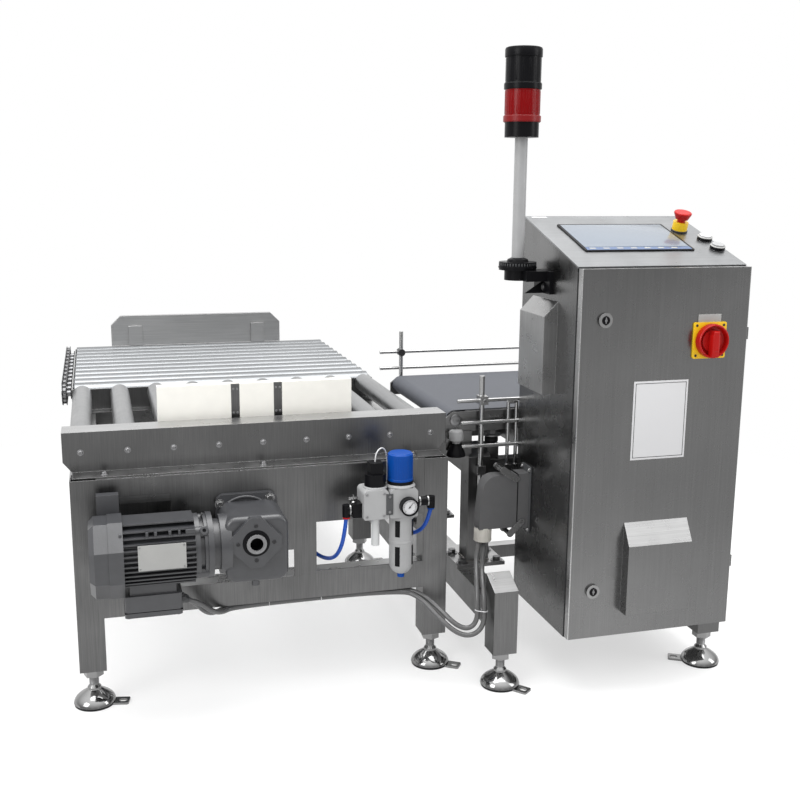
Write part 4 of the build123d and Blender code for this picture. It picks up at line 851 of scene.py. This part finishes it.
windows = [window(turn, *span) for turn in (236, 326, 56, 146) for span in ((262, 302), (322, 355))]
piece("bowl_windows", merged(*windows), black)
joint = revolve([(23.2, 308), (24.3, 308), (24.3, 311.5), (23.2, 313)], 44)
neck = revolve([(23.2, 357), (25.5, 357), (25.5, 364), (23.2, 364)], 44)
piece("bowl_rings", merged(aimed(joint, (bowl_x, unit_y, 0)), aimed(neck, (bowl_x, unit_y, 0))),
    pale_grey)
flute = block((-0.6, -0.6, -22), (0.3, 0.6, 22), 0.2)
ring_of("bowl_flutes", (bowl_x, unit_y, 283), flute, pale_grey, 40, 0.0234)
brim = revolve([(21, 421), (29.5, 421), (29.5, 423.4), (26, 427), (25, 429), (21, 429)], 48)
piece("shoulder_flange", aimed(brim, (knob_x, unit_y, 0)), pale_grey)
brim = revolve([(15, 421), (23.5, 421), (23.5, 423), (21.5, 425.5), (15, 425.5)], 48)
piece("valve_flange", aimed(brim, (valve_x, unit_y, 0)), pale_grey)
piece("clamp_plate", block((556, -114.6, 372), (570, -112.6, 414), 0.8), dark_grey)
rows = [((x, -113, z), toward) for x in (518, 552) for z in (371, 415)] + [((563, -114.6, z), toward)
    for z in (378, 408)]
scatter("unit_screws", rows, cap_head(2.6, 1.6), bolt_steel, seed=7)
hoops = [aimed(revolve([(10, 0), (11.2, 0), (11.2, 3), (10, 3), (10, 0)], 28), (x, unit_y, z), aim)
         for x, z, aim in ((489, 380, right), (505, 380, right), (629, 386, right), (646, 386, right))]
piece("fitting_rings", merged(*hoops), polished)
piece("left_release_ring",
    aimed(revolve([(4.2, 0), (7.2, 0), (7.2, 3), (4.2, 3), (4.2, 0)], 28), (484, unit_y, 362.6)), red)
piece("right_release_ring",
    aimed(revolve([(4.2, 0), (7.2, 0), (7.2, 3), (4.2, 3), (4.2, 0)], 28), (655, unit_y, 368.6)), blue)
wings = merged(block((496, -87, 392), (499, -83, 409), 1), block((488, -87, 399), (507, -83, 405), 1.4),
               aimed(revolve([(5, 0), (5, 6), (3, 8), (0, 8)], 20), (497.5, unit_y, 389)))
piece("valve_wing_nut", wings, polished)

# %% [markdown]
# ## Connector, door and console fittings
# Screws on the connector's flange, ribs on its gland, the lock inserts, the blank sign and label
# plates, the dished switch handle, and the screen with its blank key strip.

# %% Connector
piece("connector_flange", block((cabinet_left - 4, -21, 276), (cabinet_left - 0.2, 26, 420), 1),
    dark_grey)
rows = [((cabinet_left - 4, y, z), left) for y in (-16, 21) for z in (283, 413)]
scatter("connector_screws", rows, button_head(4, 2.6, 5.5), polished, seed=12)
piece("connector_gasket",
    block((cabinet_left - 29.4, -16, 285.6), (cabinet_left - 27.6, 21, 406.6), 0.5), black)
grip = block((-0.7, -1.0, -11), (0.7, 1.0, 11), 0.4)
ring_of("gland_ribs", (799, 2.5, 277), grip, beige, 26, 0.018)
piece("gland_lip", aimed(revolve([(17, 261), (19, 263), (19, 266), (17, 266)], 40), (799, 2.5, 0)),
    beige)

# %% Locks, sign plate and label
for name in ("door_lock_upper", "door_lock_lower"):
    low, high = extent(name)
    middle_x = (low[0] + high[0]) / 2
    row = high[2] - 14
    face = (middle_x, low[1], row)
    barrel = revolve([(0, 0.5), (8.2, 0.5), (8.2, 0), (0, 0)], 28)
    piece(name + "_barrel", aimed(barrel, face, toward), black, name)
    bit = merged(aimed(revolve([(0, 1.2), (2.6, 1.2), (2.6, 0), (0, 0)], 18), face, toward),
                 block((middle_x - 1.2, low[1] - 1, row - 5.4), (middle_x + 1.2, low[1], row + 5.4), 0.3))
    piece(name + "_bit", bit, bolt_steel, name)
sign_left, sign_right, sign_low, sign_high = 1012, 1128, 479, 633
piece("sign_plate", block((sign_left, door_face - 1, sign_low),
    (sign_right, door_face - 0.1, sign_high), 0.3), white, "door")
edge = 4
inner = (sign_left + edge, sign_right - edge, sign_low + edge, sign_high - edge)
strokes = [block((inner[0], door_face - 1.2, z), (inner[1], door_face - 0.9, z + 1), 0)
    for z in (inner[2], inner[3] - 1)]
strokes += [block((x, door_face - 1.2, inner[2]), (x + 1, door_face - 0.9, inner[3]), 0)
    for x in (inner[0], inner[1] - 1)]
piece("sign_border", merged(*strokes), black, "door")
switch_x, _, switch_z = centre("mains_switch_plate")
piece("switch_label", block((switch_x - 25.5, door_face - 1.6, switch_z + 30),
    (switch_x + 23.5, door_face - 0.1, switch_z + 50), 0.4),
      plate_silver, "door")
rows = [((switch_x + a * 29, extent("mains_switch_plate")[0][1], switch_z + b * 29), toward)
    for a in (-1, 1) for b in (-1, 1)]
scatter("switch_screws", rows, button_head(2.6, 1.2, 0), bolt_black, "door", seed=13)

seal_low, seal_high, seal_width = 122.5, 846.5, 9
sides = (cabinet_left - 0.5, cabinet_right + 0.5)
seal = [block((x, -205.4, seal_low), (x + w, -201.0, seal_high), 0) for x, w in (
    (sides[0], seal_width), (sides[1] - seal_width, seal_width))]
seal += [block((sides[0], -204.4, z), (sides[1], -201.6, z + 6), 0)
    for z in (seal_low - 0.7, seal_high - 5.3)]
piece("door_seal", merged(*seal), rubber, "door")

# %% Dished switch handle
knob_face = extent("mains_switch_plate")[0][1] - 0.3
dish = revolve([(20.5, 0.2), (30, 0.2), (32.6, 2.6), (33, 8), (32.6, 15), (31, 17), (29.2, 16.4),
    (27.8, 12), (26.5, 6),
                (20.5, 5)], 56)
piece("switch_dish", aimed(dish, (switch_x, knob_face, switch_z), toward), red, "mains_switch_knob")
grip = block((switch_x - 8.5, knob_face - 24, switch_z - 31),
    (switch_x + 8.5, knob_face - 6, switch_z + 14), 4)
piece("switch_grip", grip, red, "mains_switch_knob")

# %% Screen, keys, collars and label on the console
screen_left, screen_right, screen_low, screen_high = cabinet_left + 47.5, cabinet_right - 71.5, 74, 220
piece("screen_glass", lifted(block((screen_left + 5, screen_low + 18, 2.4),
    (screen_right - 5, screen_high - 5, 3.0), 0.2)), glass_pale)
piece("key_strip", lifted(block((screen_left + 5, screen_low + 3, 2.4),
    (screen_right - 5, screen_low + 17, 2.9), 0.2)), key_blue)
pitch = (screen_right - screen_left - 30) / 7
keys = [lifted(block((screen_left + 12 + k * pitch, screen_low + 7, 2.8),
    (screen_left + 12 + k * pitch + 13, screen_low + 13, 3.3), 0.2))
        for k in range(7)]
piece("key_pads", merged(*keys), plate_silver)
for number, along in enumerate(button_rows, 1):
    rim = revolve([(12.3, 0), (15.2, 0), (15.2, 1.2), (13.8, 2), (12.3, 2), (12.3, 0)], 40)
    piece(f"button_rim_{number}", aimed(rim, on_console(button_across, along, 6), tuple(console_out)),
        plate_silver)
waist = revolve([(15.2, 0), (17, 0), (17, 3), (15.2, 4)], 36)
piece("stop_base_ring", aimed(waist, on_console(stop_across, stop_along, 0), tuple(console_out)),
    bolt_black)
piece("console_label", lifted(block((908, 262, 0), (941, 270, 0.6), 0.2)), white)

# %% [markdown]
# ## Signal tower
# The lens and the buzzer module are ribbed, so the ring tree runs twice with different ribs. The
# base disc has slots under its rim, and a gusset with a round bolt carries it from the cabinet.

# %% Tower ribs, rings and gusset
rib = block((-0.6, -1.3, -21.5), (0.5, 1.3, 21.5), 0.5)
ring_of("lens_ribs", (tower_x, tower_y, 1152), rib, lens_red, 36, 0.0338)
rib = block((-0.6, -2.2, -21), (0.6, 2.2, 21), 0.6)
ring_of("buzzer_ribs", (tower_x, tower_y, 1212.5), rib, black, 16, 0.0336)
slot_bar = block((-0.8, -1.1, -2.6), (0.5, 1.1, 2.6), 0.4)
ring_of("disc_ribs", (tower_x, tower_y, 843.2), slot_bar, dark_grey, 40, 0.0368)
disc = revolve([(20, 836), (38.2, 836), (38.2, 839), (20, 839)], 56)
step = revolve([(12.4, 848), (22, 848), (20, 853), (13.5, 856), (12.4, 856)], 40)
piece("tower_disc", merged(aimed(disc, (tower_x, tower_y, 0)), aimed(step, (tower_x, tower_y, 0))),
    black)
band = revolve([(33, 0), (36.4, 0), (36.4, 10), (35.6, 11), (33, 11)], 56)
piece("lens_ring", aimed(band, (tower_x, tower_y, 1116.5)), dark_red)
piece("buzzer_ring", aimed(band, (tower_x, tower_y, 1177)), black)
crown = revolve([(33, 0), (35.8, 0), (36, 1), (36, 14), (34.5, 17), (30, 18), (30, 17)], 56)
piece("tower_crown", aimed(crown, (tower_x, tower_y, 1236)), black)
gusset = slab([(0, 0), (44, 0), (44, 24), (38, 24)], -1.5, 1.5)
gusset = [(cabinet_left - 46 + x, -60 + z, 788 + y) for x, y, z in gusset[0]], gusset[1]
piece("tower_gusset", gusset, black)
piece("gusset_bolt", aimed(button_head(6, 4, 9), (cabinet_left - 3, -61.5, 800), toward), bolt_steel)

# %% [markdown]
# ## Weigh conveyor and pusher fittings
# Bearing caps at the pulleys, a transport stop with its rubber under the conveyor, the clamp screws
# of the guides, and the small screws of the pusher strips.

# %% Conveyor
pulley_z = centre("tail_pulley")[2]
pulleys = (centre("tail_pulley")[0], centre("drive_pulley")[0])
cap = revolve([(6.3, 0), (13, 0), (13, 2), (11, 3), (6.3, 3), (6.3, 0)], 32)
rows = [((x, 88, pulley_z), toward) for x in pulleys] + [((x, 522, pulley_z), back) for x in pulleys]
scatter("bearing_caps", rows, cap, bolt_steel)
for number, (x, y) in enumerate(((855, 112), (855, 455)), 1):
    piece(f"stop_pillar_{number}", block((x - 13, y - 13, 410), (x + 13, y + 13, 446), 1.5),
        steel_upright)
    piece(f"stop_rubber_{number}",
        aimed(revolve([(13, 446), (15, 449), (15, 456), (13, 459), (0, 459)], 32), (x, y, 0)), rubber)
    washer = revolve([(0, 462), (22, 462), (22, 464.5), (0, 464.5)], 40)
    stem = revolve([(5, 458), (5, 463)], 16)
    head = revolve([(11, 464), (11, 473), (9.5, 475), (0, 475)], 6)
    piece(f"stop_bolt_{number}", merged(*(aimed(s, (x, y, 0)) for s in (washer, stem, head))),
        bolt_steel)
hook = slab([(742, 480), (800, 480), (800, 430), (788, 424), (776, 440), (742, 440)], 0, 4)
piece("hook_plate", ([(x, 88 - z, y) for x, y, z in hook[0]], [face[::-1] for face in hook[1]]),
    steel_along)
bell = revolve([(0, 430), (21, 430), (20, 436), (15, 447), (12, 456), (0, 456)], 36)
piece("stop_bell", aimed(bell, (761, 75, 0)), black)
knob = revolve([(0, 457), (9, 457), (9, 462), (15.5, 464), (15.5, 482), (13.5, 485), (0, 485)], 36)
piece("stop_knob", aimed(knob, (761, 75, 0)), pale_grey)
rows = [((x, 60.9, 549), toward) for x in (818, 1255)]
scatter("guide_screws", rows, cap_head(4.5, 5), bolt_steel, seed=21)

# %% Pusher strip screws
strips = [(axle_rows[i] + axle_rows[i + 1]) / 2 for i in (3, 4)]
rows = [((x + side, 105, z), toward) for x in strips for z in (541, 590) for side in (-4, 4)]
scatter("strip_screws", rows, cap_head(2.4, 1.5), bolt_steel, "pusher", seed=17)

# %% [markdown]
# ## Cables and air tubes
# A loose cable is one smooth curve. The route's points are the control points of a NURBS curve, so
# the line is drawn through them without corners. The same curve with no thickness gives its length.
# The motor's two cables lie side by side under the low rail and hang in one loop up to the plug.

# %% Cords
def route_curve(name, points, radius):
    """A NURBS curve along route points in millimetres."""
    curve = bpy.data.curves.new(name, "CURVE")
    curve.dimensions = "3D"
    curve.resolution_u = 16
    spline = curve.splines.new("NURBS")
    spline.points.add(len(points) - 1)
    for spot, point in zip(spline.points, points):
        spot.co = (*(c * MM for c in point), 1)
    spline.order_u = 3
    spline.use_endpoint_u = True
    curve.bevel_depth = radius * MM
    curve.bevel_resolution = 6
    curve.use_fill_caps = True
    made = new_object(name, curve)
    return made


def measured(made):
    """The length of a curve's centreline in metres."""
    depth, made.data.bevel_depth = made.data.bevel_depth, 0
    graph = bpy.context.evaluated_depsgraph_get()
    graph.update()
    line = bpy.data.meshes.new_from_object(made.evaluated_get(graph))
    made.data.bevel_depth = depth
    total = sum((line.vertices[a].co - line.vertices[b].co).length for a,
        b in (e.vertices for e in line.edges))
    bpy.data.meshes.remove(line)
    return total


def lay_cord(name, points, radius, finish):
    """A cord that replaces its CAD solid."""
    made = route_curve(name + "_look", points, radius)
    made.data.materials.append(finish)
    length = measured(made)
    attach(made, "machine")
    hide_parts(name)
    print(name, "length", round(length, 4))
    return made


elbow_left, elbow_right = 484, 655
block_low = 352
lay_cord("air_tube_left", [
    (elbow_left, -85, 366), (elbow_left - 3.5, -81, 322), (elbow_left - 10, -58, 282),
    (elbow_left - 16, -14, 256), (elbow_left - 32, 24, 250), (elbow_left - 54, 44, 270),
    (elbow_left - 72, 42, 305), (elbow_left - 88, 34, block_low)], 4, tube_blue)
lay_cord("air_tube_right", [
    (elbow_right, -85, 372), (elbow_right - 4, -82, 346), (elbow_right - 15, -66, 318),
    (elbow_right - 33, -40, 304), (elbow_right - 47, 0, 308), (elbow_right - 55, 36, 334),
    (elbow_right - 85, 50, 362), (elbow_right - 145, 50, 378), (elbow_right - 205, 42, 384),
    (417.5, 34, 384)], 4, tube_blue)
rail_under = 182 - 5 - 0.6
lay_cord("motor_cable_front", [
    (165, -96, 236), (198, -86, 222), (222, -66, 193), (244, -38, 175), (274, -15, rail_under),
] + [(table_right + x, y, z) for x, y, z in (
    (-95, -15, rail_under), (-62, -44, 168), (-36, -82, 140), (-15, -108, 119), (8, -120, 108),
    (28, -126, 111), (42.5, -128, 124.5), (48.5, -128, 148), (49.5, -118, 190), (56, -84, 222),
    (74, -40, 236), (87, -10, 246), (91, 2, 262))], 5, cable_grey)
lay_cord("motor_cable_back", [
    (165, -80, 236), (192, -72, 217), (210, -56, 189), (230, -30, 172), (256, -9, 173.5), (290, -3.5,
        rail_under),
] + [(table_right + x, y, z) for x, y, z in (
    (-89, -3.5, rail_under), (-54, -38, 171), (-28, -78, 150), (-10, -104, 131), (9, -114, 121),
    (23, -117.5, 123), (32, -119, 133), (36.5, -119, 150), (38, -110, 188), (46, -78, 226),
    (62, -36, 246), (76, -8, 253), (80, 2, 262))], 5, cable_grey)

lead = route_curve("valve_lead", [
    (valve_x, unit_y, 471), (valve_x + 0.5, unit_y + 1, 482), (valve_x + 6, unit_y + 4, 493),
    (valve_x + 16, unit_y + 10, 497), (valve_x + 25, unit_y + 16, 490), (valve_x + 30, unit_y + 22,
        470),
    (valve_x + 31, unit_y + 24, 446), (valve_x + 31, unit_y + 24, 421)], 1.3)
lead.data.materials.append(white)
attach(lead, "machine")
lead_length = measured(lead)
print("valve lead", round(lead_length, 4))

# %% Plate and shadow in the bay behind the motor
piece("bay_plate", block((40, -8, 374), (164, -5, 424), 0.3), steel_upright)
piece("bay_shadow", block((60, -9.2, 352), (164, -6, 374), 0.3), bolt_black)

# %% Cable ties
def tie(a, b, along, radius=5.7, tail=(0, 0, 1)):
    """A band round two cables that run along a direction, with its cut-off tail."""
    a, b, along = Vector(a), Vector(b), Vector(along).normalized()
    side = (b - a).normalized()
    rise = along.cross(side)
    route = []
    for middle, start in ((a, 90), (b, 270)):
        for k in range(13):
            angle = math.radians(start + 15 * k)
            route.append(middle + radius * (math.cos(angle) * side + math.sin(angle) * rise))
    route.append(route[0].copy())
    end = route[20]
    return merged(wire([tuple(p) for p in route], 0.9, 8),
        wire([tuple(end), tuple(end + 9 * Vector(tail))], 0.8, 8))


bands = [tie((x, -15, rail_under), (x, -3.5, rail_under), right, tail=(0.2, -0.7, 0.7))
    for x in (244 + 46, 341.5, 447)]
bands.append(tie((758.8, -126, 159), (747.1, -117.5, 159), up, tail=(0.8, -0.5, 0.2)))
piece("cable_ties", merged(*bands), white)

# %% [markdown]
# ## Camera, light and floor
# The camera stands two metres in front of the table's front left foot, at chest height, and looks to the
# right and slightly down, as the photographer did. A white studio behind and above the machine and
# a darker room behind the camera make brushed steel look like steel: what faces the camera mirrors
# the room, and what faces up mirrors the light.

# %% Camera
camera_place = (0.0387, -1.996, 0.9984)
camera_down = 11.575
camera_right = 16.09
camera_roll = 0.473
focal = 47.64
lens = bpy.data.cameras.new("camera")
lens.lens = focal
lens.sensor_width = 36
camera = new_object("camera", lens)
turn = Matrix.Rotation(math.radians(-camera_right), 4,
    "Z") @ Matrix.Rotation(math.radians(90 - camera_down), 4, "X")
turn = turn @ Matrix.Rotation(math.radians(camera_roll), 4, "Z")
camera.matrix_world = Matrix.Translation(camera_place) @ turn
bpy.context.scene.camera = camera

# %% Studio surroundings
world = bpy.data.worlds.new("studio")
bpy.context.scene.world = world
world.use_nodes = True
sky = world.node_tree
sky.nodes.clear()
heading = node(sky, "ShaderNodeTexCoord").outputs["Generated"]
split = node(sky, "ShaderNodeSeparateXYZ", {0: heading})
zenith = node(sky, "ShaderNodeMapRange", {
    "Value": split.outputs[2], "From Min": 0.0, "From Max": 1.0, "To Min": 0.22, "To Max": 1.9})
behind = node(sky, "ShaderNodeMapRange", {
    "Value": split.outputs[1], "From Min": -0.3, "From Max": 0.8, "To Min": 0.2, "To Max": 1.0})
room = node(sky, "ShaderNodeMath", {0: zenith.outputs[0], 1: behind.outputs[0]},
    operation="MAXIMUM").outputs[0]
seen = node(sky, "ShaderNodeLightPath").outputs["Is Camera Ray"]
level = node(sky, "ShaderNodeMix", {"Factor": seen, 2: room, 3: 1.0}).outputs[0]
shine = node(sky, "ShaderNodeBackground", {"Color": (1, 1, 1, 1), "Strength": level})
node(sky, "ShaderNodeOutputWorld", {0: shine.outputs[0]})

# %% Soft boxes
def soft_box(name, place, target, width, height, power):
    """A rectangular lamp that faces a point."""
    lamp = bpy.data.lights.new(name, "AREA")
    lamp.shape = "RECTANGLE"
    lamp.size, lamp.size_y = width, height
    lamp.energy = power
    made = bpy.data.objects.new(name, lamp)
    made.matrix_world = Matrix.Translation(place) @ (
        Vector(target) - Vector(place)).to_track_quat("-Z", "Y").to_matrix().to_4x4()
    bpy.context.scene.collection.objects.link(made)
    return made


middle = Vector((0.62, 0.35, 0.45))
soft_box("soft_box_top", (0.6, 0.2, 3.4), middle, 3.2, 2.4, 80)
soft_box("soft_box_left", (-2.4, -1.6, 2.0), middle, 1.6, 2.0, 44)
soft_box("soft_box_right", (3.4, -1.4, 1.6), middle, 1.0, 2.0, 20)

# %% Floor that fades into the white backdrop
floor_mesh = bpy.data.meshes.new("floor")
reach = 12.0
floor_mesh.from_pydata([(-reach, -reach, 0), (reach, -reach, 0), (reach, reach, 0),
    (-reach, reach, 0)], [], [(0, 1, 2, 3)])
floor = new_object("floor", floor_mesh)
floor_finish, tree, out = blank_material("studio_floor")
place = node(tree, "ShaderNodeTexCoord").outputs["Object"]
away = node(tree, "ShaderNodeVectorMath", {0: place, 1: (0.6, 0.3, 0)},
    operation="DISTANCE").outputs["Value"]
fade = node(tree, "ShaderNodeMapRange", {"Value": away, "From Min": 0.9, "From Max": 2.1}).outputs[0]
matt = node(tree, "ShaderNodeBsdfDiffuse", {"Color": (0.42, 0.42, 0.42, 1)})
direct = node(tree, "ShaderNodeLightPath").outputs["Is Camera Ray"]
near = node(tree, "ShaderNodeMapRange", {"Value": direct, "To Min": 0.34, "To Max": 0.56}).outputs[0]
glow = node(tree, "ShaderNodeEmission", {"Color": (1, 1, 1, 1), "Strength": near})
matt = node(tree, "ShaderNodeAddShader", {0: matt.outputs[0], 1: glow.outputs[0]})
far = node(tree, "ShaderNodeMapRange", {"Value": direct, "To Min": 0.8, "To Max": 1.0}).outputs[0]
plain = node(tree, "ShaderNodeEmission", {"Color": (1, 1, 1, 1), "Strength": far})
mixed = node(tree, "ShaderNodeMixShader", {0: fade, 1: matt.outputs[0], 2: plain.outputs[0]})
tree.links.new(mixed.outputs[0], out.inputs[0])
floor_mesh.materials.append(floor_finish)
bpy.context.scene.view_settings.view_transform = "Standard"
print("stage ready")
